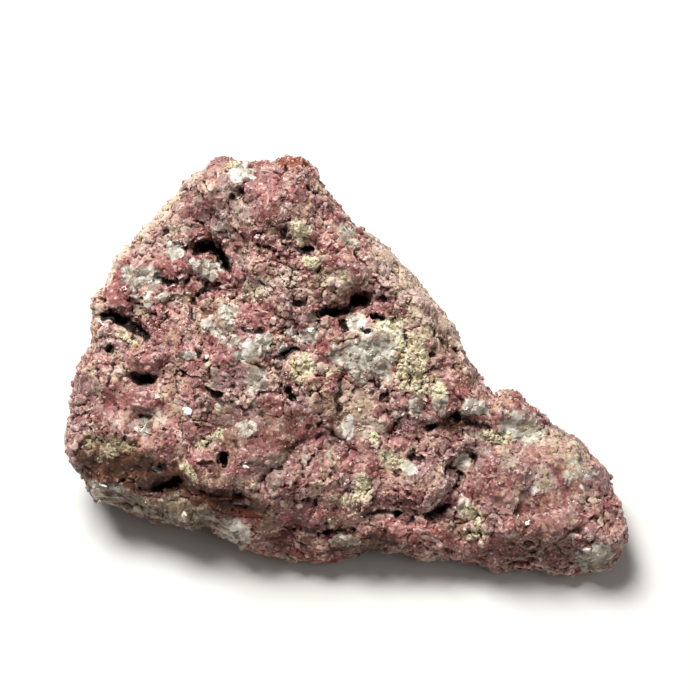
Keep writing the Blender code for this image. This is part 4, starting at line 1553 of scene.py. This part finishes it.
@dataclass
class Stone:
    """The whole stone's surface, modelled as one closed mesh and then parted into two halves."""

    face: ShowFace
    minerals: Minerals
    solid: bpy.types.Object
    coarse_grain: float = 0.40
    fine_grain: float = 0.27
    most_triangles: int = 382000
    smooth_angle: float = math.radians(32.0)
    crevices: tuple[float, ...] = (0.24, 0.14, 0.08)
    heights: tuple[float, ...] = (0.46, 0.36, 0.17)
    tilts: tuple[float, ...] = (0.22, 0.38, 0.44)
    glassy_damping: tuple[float, ...] = (0.0, 0.30, 0.80)
    crevice_width: float = 0.30
    swell: float = 0.24
    ridge: float = 0.30
    gap: float = 0.65
    bed: float = 0.22
    regrowth: float = 0.10
    pit_depth: float = 1.5
    vug_edges: Clouds = Clouds(1.5, 31, 2)
    fine_vug_edges: Clouds = Clouds(0.8, 41)
    swell_clouds: Clouds = Clouds(2.4, 83, 4)
    ridge_clouds: Clouds = Clouds(1.9, 91, 3)
    torn_clouds: Clouds = Clouds(4.5, 98)
    gap_clouds: Clouds = Clouds(1.8, 97, 3)
    bed_clouds: Clouds = Clouds(1.1, 87, 2)
    open_seed: int = 120
    name: str = "rock_body"
    item: bpy.types.Object = field(init=False)

    def build(self) -> bpy.types.Object:
        """Models the stone.

        Returns:
            The finished object.
        """
        self._copy_solid()
        modify(self.item, "REMESH", mode="VOXEL", voxel_size=self.coarse_grain * MM)
        modify(self.item, "SMOOTH", factor=0.5, iterations=3)
        self._cut_notch()
        self._open_vugs()
        modify(self.item, "REMESH", mode="VOXEL", voxel_size=self.fine_grain * MM)
        modify(self.item, "SMOOTH", factor=0.5, iterations=1)
        self._break_surface()
        self._thin()
        mark_relief(self.item)
        self.minerals.scatter(points_of(self.item))
        self.minerals.mark(self.item)
        return self.item

    def halves(self) -> list[bpy.types.Object]:
        """Parts the surface across its middle into two closed halves, each light enough for one piece.

        Returns:
            The front half and the back half.
        """
        middle = float(np.median(self.face.read(points_of(self.item))[:, 2]))
        log.info("%s: parted at %.2f mm", self.name, middle)
        parts = []
        for name, side in (("rock_front", "clear_inner"), ("rock_back", "clear_outer")):
            part = place_mesh(name, self.item.data.copy())
            choose(part)
            bpy.ops.object.mode_set(mode="EDIT")
            bpy.ops.mesh.select_all(action="SELECT")
            bpy.ops.mesh.bisect(
                plane_co=self.face.place(0.0, 0.0, middle),
                plane_no=self.face.outward(),
                use_fill=True,
                threshold=0.001 * MM,
                **{side: True},
            )
            bpy.ops.mesh.select_all(action="SELECT")
            bpy.ops.mesh.quads_convert_to_tris()
            bpy.ops.object.mode_set(mode="OBJECT")
            parts.append(part)
        bpy.data.objects.remove(self.item)
        return parts

    def dress(self, part: bpy.types.Object, finish: RockFinish) -> None:
        """Gives one half of the stone its finish.

        Args:
            part: The half.
            finish: The finish.
        """
        part.data.materials.clear()
        part.data.materials.append(finish.make())
        choose(part)
        bpy.ops.object.shade_smooth_by_angle(angle=self.smooth_angle)

    def _copy_solid(self) -> None:
        """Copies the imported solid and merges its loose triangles."""
        self.item = place_mesh(self.name, self.solid.data.copy())
        choose(self.item)
        bpy.ops.object.mode_set(mode="EDIT")
        bpy.ops.mesh.select_all(action="SELECT")
        bpy.ops.mesh.remove_doubles(threshold=0.005 * MM)
        bpy.ops.object.mode_set(mode="OBJECT")

    def _cut_notch(self) -> None:
        """Presses the outline between the body and the lobe down to its sharp notch."""
        points = points_of(self.item)
        places = self.face.read(points)
        line = np.array(NOTCH)
        limit = np.interp(places[:, 0], line[:, 0], line[:, 1], left=np.inf, right=np.inf)
        over = np.maximum(places[:, 1] - limit, 0.0)
        move_points(self.item, points - over[:, None] * self.face.along(0.0, 1.0))

    def _open_vugs(self) -> None:
        """Sinks the vugs and clefts into the show face."""
        points = points_of(self.item)
        places = self.face.read(points)
        outward = np.array(self.face.outward())
        facing = smooth_step((normals_of(self.item) @ outward + 0.1) / 0.4)
        ragged = places.copy()
        ragged[:, :2] += 0.45 * self.vug_edges.push(points, 2) + 0.35 * self.fine_vug_edges.push(points, 2)
        sink = np.zeros(len(points))
        for vug in VUGS:
            sink = np.maximum(sink, vug.depth * smooth_step(2.6 * vug.share(ragged)))
        sink *= facing * (places[:, 2] > -1.0)
        points -= outward * sink[:, None]
        self._settle(points)

    def _break_surface(self) -> None:
        """Breaks the surface into blocks, angular grains, grit, pits and worn bedding."""
        points = points_of(self.item)
        normals = Neighbours(self.item.data).smooth(normals_of(self.item), 3)
        normals /= np.maximum(np.linalg.norm(normals, axis=1, keepdims=True), 1e-6)
        smooth, glassy = self.minerals.smoothness(points), self.minerals.glassy(points)
        lift = self._blocks(points, smooth, glassy)
        ridges = 0.35 - np.abs(self.ridge_clouds.at(points))
        uneven = self.swell * self.swell_clouds.at(points) + self.ridge * ridges
        lift += uneven * (1.0 - 0.55 * smooth) * (1.0 - 0.5 * glassy)
        torn = smooth_step((self.torn_clouds.at(points) + 0.02) / 0.3)
        gaps = smooth_step((self.gap_clouds.at(points) - 0.40) / 0.30) * torn
        lift -= self.gap * gaps * (1.0 - 0.8 * smooth)
        worn = smooth_step((-normals[:, 1] - 0.6 * normals[:, 2] - 0.1) / 0.5)
        beds = self.bed_clouds.at(points * np.array([0.22, 1.0, 1.0]))
        lift = lift * (1.0 - 0.15 * worn) + self.bed * beds * worn + self.regrowth
        lift -= self.pit_depth * self.minerals.pits(points)
        above_floor = smooth_step((points[:, 2] - 0.15) / 0.8)
        points += normals * (lift * above_floor)[:, None]
        self._settle(points)

    def _blocks(self, points: np.ndarray, smooth: np.ndarray, glassy: np.ndarray) -> np.ndarray:
        """The relief of blocks, grains and grit, each tilted and raised by chance, with crevices between.

        Args:
            points: The surface's points.
            smooth: How smooth the surface is there.
            glassy: How far it is large glassy crystals.

        Returns:
            How far each point rises, in millimetres.
        """
        swirled = self.minerals.swirled(points)
        lift = np.zeros(len(points))
        for layer, packing in enumerate(self.minerals.packings):
            inside, away, chance = packing.at(swirled)
            openings = Clouds(packing.spacing * 1.7, self.open_seed + layer).at(points)
            open_share = smooth_step(0.5 + 1.6 * openings)
            crevice = self.crevices[layer] * open_share * (1.0 - smooth_step(inside / self.crevice_width))
            block = self.heights[layer] * (chance[:, 0] - 0.5) * smooth_step(0.15 + inside / 0.4)
            block += self.tilts[layer] * np.einsum("ij,ij->i", away, chance[:, 1:] - 0.5)
            detail = block * (1.0 - 0.5 * smooth) - crevice * (1.0 - 0.9 * smooth)
            lift += detail * (1.0 - self.glassy_damping[layer] * glassy)
        return lift

    def _thin(self) -> None:
        """Thins the mesh to what its two halves may hold."""
        modify(self.item, "TRIANGULATE")
        count = len(self.item.data.polygons)
        log.info("%s: %d triangles before thinning", self.name, count)
        modify(self.item, "DECIMATE", ratio=min(1.0, self.most_triangles / count))
        self._settle(points_of(self.item))

    def _settle(self, points: np.ndarray) -> None:
        """Moves the surface's points, none of them below the floor.

        Args:
            points: Their new places, in millimetres.
        """
        points[:, 2] = np.maximum(points[:, 2], 0.0)
        move_points(self.item, points)


# --------------------------------------------------------------------------- grains


@dataclass(frozen=True)
class Seat:
    """Where one grain sits."""

    at: Vector
    normal: Vector
    size: float
    tint: float


@dataclass
class GrainCrust:
    """Many grains of one kind, in one mesh."""

    name: str
    slot: str
    shape: Callable[[], bpy.types.Object]
    seats: list[Seat]
    finish: FlakeFinish | RockFinish
    stretch: tuple[float, float, float] = (1.0, 1.0, 1.0)
    sink: float = 0.3
    seed: int = 1
    spread: Pair = (0.72, 1.28)
    least_height: float = 0.02
    item: bpy.types.Object = field(init=False)

    def build(self) -> bpy.types.Object:
        """Models one grain and copies it to every seat, each time turned and stretched anew.

        Returns:
            The finished object.
        """
        points, triangles = take_model(self.shape())
        rng = np.random.default_rng(self.seed)
        count = len(self.seats)
        turns = rng.normal(size=(count, 4))
        turns /= np.linalg.norm(turns, axis=1, keepdims=True)
        scales = np.array([s.size for s in self.seats])[:, None] * rng.uniform(*self.spread, (count, 3))
        scales *= np.array(self.stretch)
        turned = self._rotate(turns, points[None] * scales[:, None, :])
        seats = np.array([np.array(s.at) / MM for s in self.seats])
        normals = np.array([s.normal for s in self.seats])
        reach = np.einsum("nij,nj->ni", turned, normals)
        depth = reach.min(axis=1) * (1.0 - 2.0 * self.sink)
        placed = turned + (seats - normals * depth[:, None])[:, None, :]
        placed[:, :, 2] = np.maximum(placed[:, :, 2], self.least_height)
        faces = triangles[None] + (np.arange(count) * len(points))[:, None, None]
        # Painted contact shade: hollow is 1 at each grain's base, where the finish darkens it.
        sunk = 0.5 - 0.5 * reach / np.maximum(np.abs(reach).max(axis=1, keepdims=True), 1e-6)
        tints = np.repeat([s.tint for s in self.seats], len(points))
        self.item = add_copies(
            self.name, placed.reshape(-1, 3), faces.reshape(-1, 3), tint=tints, hollow=sunk.ravel()
        )
        return self.item

    @staticmethod
    def _rotate(turns: np.ndarray, points: np.ndarray) -> np.ndarray:
        """Turns each grain's points by its own quaternion.

        Args:
            turns: Unit quaternions, one row a grain.
            points: The grains' points.

        Returns:
            The turned points.
        """
        w, axis = turns[:, None, :1], turns[:, None, 1:]
        across = np.cross(axis, points)
        return points + 2.0 * (w * across + np.cross(axis, across))

    def dress(self) -> None:
        """Gives the grains their finish."""
        self.item.data.materials.append(self.finish.make())


def start_ball(radius: float, subdivisions: int) -> bpy.types.Object:
    """Adds a ball of triangles at the origin, the start of a grain.

    Args:
        radius: Its radius, in millimetres.
        subdivisions: How finely it is divided.

    Returns:
        The ball.
    """
    choose()
    bpy.ops.mesh.primitive_ico_sphere_add(subdivisions=subdivisions, radius=radius * MM)
    return bpy.context.object


def cleave(item: bpy.types.Object, planes: Iterable[tuple[tuple[float, float, float], float]]) -> None:
    """Cuts flat faces onto a grain.

    Args:
        item: The grain.
        planes: The direction that each flat faces, and how far from the middle it is, in millimetres.
    """
    choose(item)
    bpy.ops.object.mode_set(mode="EDIT")
    for direction, distance in planes:
        normal = Vector(direction).normalized()
        bpy.ops.mesh.select_all(action="SELECT")
        bpy.ops.mesh.bisect(plane_co=normal * distance * MM, plane_no=normal, use_fill=True, clear_outer=True)
    bpy.ops.mesh.select_all(action="SELECT")
    bpy.ops.mesh.remove_doubles(threshold=0.02 * MM)
    bpy.ops.mesh.quads_convert_to_tris()
    bpy.ops.mesh.normals_make_consistent(inside=False)
    bpy.ops.object.mode_set(mode="OBJECT")


def sugar_grain() -> bpy.types.Object:
    """A small angular grain of about 1 mm: a cube with two corners broken off.

    Returns:
        The grain.
    """
    choose()
    bpy.ops.mesh.primitive_cube_add(size=0.8 * MM)
    item = bpy.context.object
    cleave(item, (((1.0, 0.8, 0.9), 0.38), ((-0.8, 1.0, -0.6), 0.40)))
    return item


def broken_grain() -> bpy.types.Object:
    """A broken glassy grain of about 1 mm, with flats and a few edges.

    Returns:
        The grain.
    """
    item = start_ball(0.6, 1)
    flats = (
        ((1.0, 0.2, 0.3), 0.36),
        ((-0.8, 0.7, 0.1), 0.40),
        ((0.1, -1.0, 0.4), 0.38),
        ((-0.3, -0.2, 1.0), 0.35),
        ((0.4, 0.9, 0.8), 0.42),
    )
    cleave(item, flats)
    return item


def prism_crystal() -> bpy.types.Object:
    """A stubby prism crystal about 2 mm long, with bevelled ends.

    Returns:
        The crystal.
    """
    choose()
    bpy.ops.mesh.primitive_cylinder_add(vertices=6, radius=0.5 * MM, depth=2.0 * MM)
    item = bpy.context.object
    flats = (
        ((0.5, 0.0, 1.0), 0.72),
        ((-0.6, 0.3, 1.0), 0.78),
        ((0.2, 0.6, -1.0), 0.74),
        ((0.0, -0.7, -1.0), 0.80),
    )
    cleave(item, flats)
    return item


@dataclass
class Ground:
    """The stone's surface, as grains find their seats on it."""

    face: ShowFace
    stone: bpy.types.Object
    drop_height: float = 40.0
    probes: int = 13
    probe_turn: float = 2.4
    probe_reach: float = 0.8
    fewest_hits: int = 3
    least_height: float = 0.4
    tree: BVHTree = field(init=False)

    def __post_init__(self) -> None:
        """Reads the surface once."""
        self.tree = BVHTree.FromObject(self.stone, bpy.context.evaluated_depsgraph_get())
        mesh = self.stone.data
        self.corners = triangles_of(self.stone)
        self.points = points_of(self.stone)
        triangles = self.points[self.corners]
        crosses = np.cross(triangles[:, 1] - triangles[:, 0], triangles[:, 2] - triangles[:, 0])
        areas = np.linalg.norm(crosses, axis=1)
        self.normals = crosses / np.maximum(areas, 1e-9)[:, None]
        self.chances = areas / areas.sum()
        self.marks = {}
        for name in [m.value for m in Mineral] + ["hollow", "pore"]:
            values = np.empty(len(mesh.vertices), np.float32)
            mesh.attributes[name].data.foreach_get("value", values)
            self.marks[name] = values[self.corners].mean(axis=1)

    def drop(self, right: float, up: float) -> tuple[Vector, Vector] | None:
        """Finds the show face's surface at a place.

        Args:
            right: To the right, in millimetres.
            up: Up along the face, in millimetres.

        Returns:
            The place and the surface's normal there, or None beside the stone.
        """
        outward = self.face.outward()
        hit, normal, _, _ = self.tree.ray_cast(self.face.place(right, up, self.drop_height), -outward)
        return None if hit is None else (hit, normal)

    def bed(self, patch: Patch) -> tuple[np.ndarray, np.ndarray] | None:
        """Finds the lie of the show face under a patch.

        Args:
            patch: The patch.

        Returns:
            The middle, in millimetres, and a frame whose columns point along the patch, across
            it and out of the stone, or None beside the stone.
        """
        turn = math.radians(patch.turn)
        along, across = (math.cos(turn), math.sin(turn)), (-math.sin(turn), math.cos(turn))
        hits = []
        for step in range(self.probes):
            angle = step * self.probe_turn
            reach = math.sqrt(step / (self.probes - 1)) * self.probe_reach
            a, b = patch.radii[0] * reach * math.cos(angle), patch.radii[1] * reach * math.sin(angle)
            right = patch.at[0] + a * along[0] + b * across[0]
            up = patch.at[1] + a * along[1] + b * across[1]
            found = self.drop(right, up)
            if found:
                hits.append(np.array(found[0]) / MM)
        if len(hits) < self.fewest_hits:
            return None
        cloud = np.array(hits)
        middle = cloud.mean(axis=0)
        face_out = np.array(self.face.outward())
        outward = np.linalg.svd(cloud - middle)[2][2] if len(hits) > 2 * self.fewest_hits else face_out.copy()
        outward *= math.copysign(1.0, float(outward @ face_out))
        outward = 0.7 * outward + 0.3 * face_out
        outward /= np.linalg.norm(outward)
        first = self.face.along(*along)
        first -= outward * (first @ outward)
        first /= np.linalg.norm(first)
        return middle, np.stack([first, np.cross(outward, first), outward], axis=1)

    def over(self, wanted: np.ndarray, count: int, sizes: Pair, rng: np.random.Generator) -> list[Seat]:
        """Seats spread over the whole stone.

        Args:
            wanted: How willingly each triangle takes a grain.
            count: How many seats.
            sizes: The smallest and the largest grain, in millimetres.
            rng: The source of chance.

        Returns:
            The seats.
        """
        chances = self.chances * wanted
        picks = rng.choice(len(chances), count, p=chances / chances.sum())
        shares = rng.dirichlet((1.0, 1.0, 1.0), count)
        at = np.einsum("nk,nkj->nj", shares, self.points[self.corners[picks]])
        size = sizes[0] + (sizes[1] - sizes[0]) * rng.uniform(size=count) ** 2
        tint = rng.uniform(size=count)
        normals = self.normals[picks]
        return [
            Seat(Vector(at[i]) * MM, Vector(normals[i]), float(size[i]), float(tint[i]))
            for i in range(count)
            if at[i, 2] > self.least_height
        ]


@dataclass
class Chunks:
    """One broken chunk for each patch of a mineral that stands proud, sunk in the stone's show face."""

    name: str
    slot: str
    mineral: Mineral
    ground: Ground
    finish: RockFinish
    thickness: float = 0.70
    flats: int = 16
    flat_depth: Pair = (0.50, 0.90)
    lump: float = 0.28
    grit: float = 0.07
    grit_clouds: Clouds = Clouds(0.9, 300, 3)
    subdivisions: int = 4
    least_height: float = 0.02
    smooth_angle: float = math.radians(26.0)
    seed: int = 1
    item: bpy.types.Object = field(init=False)

    def build(self) -> bpy.types.Object:
        """Models a ball of fine triangles, and breaks a copy of it to shape for each patch.

        Returns:
            The finished object.
        """
        ball, triangles = take_model(start_ball(1.0, self.subdivisions))
        rng = np.random.default_rng(self.seed)
        points, faces, tints = [], [], []
        for patch in (p for p in PATCHES if p.mineral is self.mineral and p.proud > 0.0):
            bed = self.ground.bed(patch)
            if bed is None:
                continue
            faces.append(triangles + len(ball) * len(points))
            points.append(self._placed(self._broken(ball, rng), patch, *bed))
            tints.append(np.full(len(ball), np.clip(patch.tone + rng.uniform(-0.1, 0.1), 0.0, 1.0)))
        self.item = add_copies(
            self.name, np.concatenate(points), np.concatenate(faces), tint=np.concatenate(tints)
        )
        mark_relief(self.item)
        return self.item

    def _broken(self, ball: np.ndarray, rng: np.random.Generator) -> np.ndarray:
        """Breaks a ball along flats, by pressing what stands past each flat back onto it.

        Args:
            ball: The ball's points.
            rng: The source of chance.

        Returns:
            The broken ball's points.
        """
        lumps = [Clouds(0.9, rng.integers(999), 2).at(ball) for _ in range(3)]
        points = ball + self.lump * np.stack(lumps, axis=1)
        for _ in range(self.flats):
            normal = rng.normal(size=3)
            normal /= np.linalg.norm(normal)
            past = points @ normal - rng.uniform(*self.flat_depth)
            points -= np.maximum(past, 0.0)[:, None] * normal
        return points

    def _placed(self, chunk: np.ndarray, patch: Patch, middle: np.ndarray, bed: np.ndarray) -> np.ndarray:
        """Stretches a chunk to its patch, roughens it and sets it in its bed.

        Args:
            chunk: The chunk's points.
            patch: The patch.
            middle: The bed's middle, in millimetres.
            bed: The bed's frame.

        Returns:
            The chunk's points in place, in millimetres.
        """
        chunk = chunk * np.array([*patch.radii, min(patch.radii) * self.thickness])
        chunk[:, 2] += patch.proud - chunk[:, 2].max()
        chunk = middle + chunk @ bed.T
        chunk += self.grit * self.grit_clouds.push(chunk)
        chunk[:, 2] = np.maximum(chunk[:, 2], self.least_height)
        return chunk

    def dress(self) -> None:
        """Gives the chunks their finish."""
        self.item.data.materials.append(self.finish.make())
        choose(self.item)
        bpy.ops.object.shade_smooth_by_angle(angle=self.smooth_angle)


# --------------------------------------------------------------------------- the studio


@dataclass(frozen=True)
class Lamp:
    """A soft square light that looks at the stone."""

    name: str
    at: tuple[float, float, float]
    width: float
    power: float
    colour: Colour
    target: tuple[float, float, float] = (0.0, 0.0, 0.02)

    def build(self) -> None:
        """Adds the light, which stands at a place in metres and has a power in watts."""
        data = bpy.data.lights.new(self.name, "AREA")
        data.size, data.energy, data.color = self.width, self.power, self.colour
        light = bpy.data.objects.new(self.name, data)
        bpy.context.scene.collection.objects.link(light)
        light.location = self.at
        light.rotation_euler = (Vector(self.at) - Vector(self.target)).to_track_quat("Z", "Y").to_euler()


@dataclass
class Studio:
    """The floor, the lights and the camera."""

    face: ShowFace
    lens: float = 120.0
    sensor: float = 36.0
    view_width: float = 105.0
    middle: Pair = (0.45, 2.55)
    nearest: float = 0.01
    floor_width: float = 4.0
    world_colour: Colour = (1.0, 0.94, 0.88)
    world_strength: float = 0.15
    lamps: tuple[Lamp, ...] = (
        Lamp("key", (-0.26, 0.28, 0.80), 0.40, 16.9, (1.0, 0.985, 0.96)),
        Lamp("fill", (0.55, -0.35, 0.70), 0.60, 1.6, (1.0, 0.95, 0.90)),
    )

    def build(self) -> None:
        """Sets up the whole studio."""
        self._floor()
        self._camera()
        for lamp in self.lamps:
            lamp.build()
        self._world()
        bpy.context.scene.view_settings.view_transform = "Standard"

    def _floor(self) -> None:
        """Lays the floor."""
        choose()
        bpy.ops.mesh.primitive_plane_add(size=self.floor_width)
        floor = bpy.context.object
        floor.name = "studio_floor"
        floor.data.materials.append(FloorFinish().make())

    def _camera(self) -> None:
        """Points the camera squarely at the show face."""
        data = bpy.data.cameras.new("camera")
        data.lens, data.sensor_width = self.lens, self.sensor
        data.clip_start = self.nearest
        camera = bpy.data.objects.new("camera", data)
        bpy.context.scene.collection.objects.link(camera)
        distance = self.lens * self.view_width / self.sensor * MM
        camera.location = self.face.place(*self.middle, 0.0) + self.face.outward() * distance
        camera.rotation_euler = (math.pi / 2 - self.face.elevation, 0.0, 0.0)
        bpy.context.scene.camera = camera

    def _world(self) -> None:
        """Lights the scene faintly from all around."""
        world = bpy.data.worlds.new("studio")
        bpy.context.scene.world = world
        world.use_nodes = True
        background = world.node_tree.nodes["Background"]
        background.inputs["Color"].default_value = (*self.world_colour, 1.0)
        background.inputs["Strength"].default_value = self.world_strength


# --------------------------------------------------------------------------- the specimen


@dataclass(frozen=True)
class Sowing:
    """How one kind of grain is strewn over the stone: how many, how large and how deep each sits."""

    name: str
    slot: str
    shape: Callable[[], bpy.types.Object]
    finish: FlakeFinish | RockFinish
    count: int
    sizes: Pair
    sink: float
    seed: int
    stretch: tuple[float, float, float] = (1.0, 1.0, 1.0)

    def crust(self, seats: list[Seat]) -> GrainCrust:
        """The crust on these seats."""
        return GrainCrust(
            self.name, self.slot, self.shape, seats, self.finish, self.stretch, self.sink, self.seed
        )


QUARTZ = RockFinish("cloudy_quartz", 0.40, transmission=0.12, subsurface=0.25, facet=0.10, relief=0.35)
ROSE = RockFinish("clear_piemontite", 0.42, coat=0.15, facet=0.12, relief=0.5)
EPIDOTE = RockFinish("pale_epidote", roughness=0.5)
SUGAR = RockFinish("sugary_rock", subsurface=0.15, own=0.35)
CRYSTAL = RockFinish("rose_crystal", 0.34, subsurface=0.15, coat=0.18, facet=0.12, relief=0.5, own=0.55)


@dataclass
class Growths:
    """The chunks and the crusts of grains that grow on the stone."""

    ground: Ground
    sowings: tuple[Sowing, ...] = (
        Sowing("quartz_grains", "quartz", broken_grain, QUARTZ, 260, (0.5, 1.8), 0.62, 11),
        Sowing(
            "piemontite_grains", "piemontite", prism_crystal, ROSE, 420, (0.5, 1.3), 0.65, 12, (0.9, 0.9, 0.8)
        ),
        Sowing("epidote_grains", "epidote", broken_grain, EPIDOTE, 900, (0.26, 0.65), 0.6, 13),
        Sowing("sugar_grains", "rose_rock", sugar_grain, SUGAR, 8500, (0.22, 0.52), 0.55, 14),
        Sowing("rose_crystals", "rose_rock", broken_grain, CRYSTAL, 2600, (0.45, 1.25), 0.68, 15),
    )
    flakes: Sowing = Sowing(
        "white_flakes", "quartz", broken_grain, FlakeFinish(), 4, (0.5, 1.1), 0.4, 16, (1.2, 1.2, 0.6)
    )
    flake_scatter: float = 0.4
    sandy_clouds: Clouds = Clouds(6.0, 222, 2)
    seed: int = 2026

    def pieces(self) -> list[GrainCrust | Chunks]:
        """Every set of chunks and crust of grains, not yet built."""
        rng = np.random.default_rng(self.seed)
        flakes = self.flakes.crust(self._flake_seats(rng))
        wanted = self._wanted()
        grains = [s.crust(self.ground.over(wanted[s.name], s.count, s.sizes, rng)) for s in self.sowings]
        return [
            Chunks("quartz_chunks", "quartz", Q, self.ground, QUARTZ, seed=21),
            Chunks("piemontite_crystals", "piemontite", R, self.ground, ROSE, seed=22),
            Chunks("epidote_chunks", "epidote", E, self.ground, EPIDOTE, seed=23),
            *grains,
            flakes,
        ]

    def _wanted(self) -> dict[str, np.ndarray]:
        """How willingly each triangle of the stone takes each kind of grain.

        Returns:
            One number a triangle, by the crust's name.
        """
        ground, marks = self.ground, self.ground.marks
        no_pit = np.clip(1.0 - marks["pore"] * 1.2, 0.0, 1.0) * np.clip(1.0 - marks["hollow"], 0.1, 1.0)
        sandy = smooth_step(0.45 + 1.3 * self.sandy_clouds.at(ground.points[ground.corners].mean(axis=1)))
        facing = np.abs(ground.normals @ np.array(ground.face.outward()))
        plain = (0.25 + 0.75 * smooth_step(facing / 0.6)) * no_pit
        for mineral, cover in ((Q, 0.95), (C, 0.80), (R, 0.6)):
            plain = plain * (1.0 - cover * marks[mineral.value])
        return {
            "quartz_grains": marks["quartz"] ** 2 * no_pit + 1e-6,
            "piemontite_grains": marks["rose"] ** 2 * no_pit + 2e-3,
            "epidote_grains": marks["epidote"] ** 2 * no_pit + 1e-5,
            "sugar_grains": plain * (1.0 - 0.85 * marks["smoke"]) * (0.08 + sandy),
            "rose_crystals": plain * (1.0 - 0.6 * marks["smoke"]) * (1.2 - sandy),
        }

    def _flake_seats(self, rng: np.random.Generator) -> list[Seat]:
        """Seats for the white flakes, a few at each of their places on the show face.

        Args:
            rng: The source of chance.

        Returns:
            The seats.
        """
        seats = []
        for right, up, size in FLAKES:
            for _ in range(self.flakes.count):
                aside, above = rng.normal(0, self.flake_scatter), rng.normal(0, self.flake_scatter)
                found = self.ground.drop(right + size * aside, up + size * above)
                if found:
                    seats.append(Seat(*found, size * rng.uniform(*self.flakes.sizes), rng.uniform()))
        return seats


def main() -> None:
    """Builds the stone, its crusts and the studio, and reports each piece."""
    logging.basicConfig(level=logging.INFO, format="%(name)s: %(message)s")
    face = ShowFace()
    Studio(face).build()
    minerals = Minerals(face)
    stone = Stone(face, minerals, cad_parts[STONE_NODE])
    stone.build()
    ground = Ground(face, stone.item)
    for part in stone.halves():
        stone.dress(part, RockFinish(part.name, subsurface=0.15))
        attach(part, BODY)
        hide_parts(STONE_NODE)
        log.info("%s: %d triangles", part.name, len(part.data.polygons))
    for crust in Growths(ground).pieces():
        crust.build()
        minerals.mark(crust.item)
        crust.dress()
        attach(crust.item, BODY)
        log.info("%s: %d triangles", crust.name, len(crust.item.data.polygons))


if __name__ == "__main__":
    main()
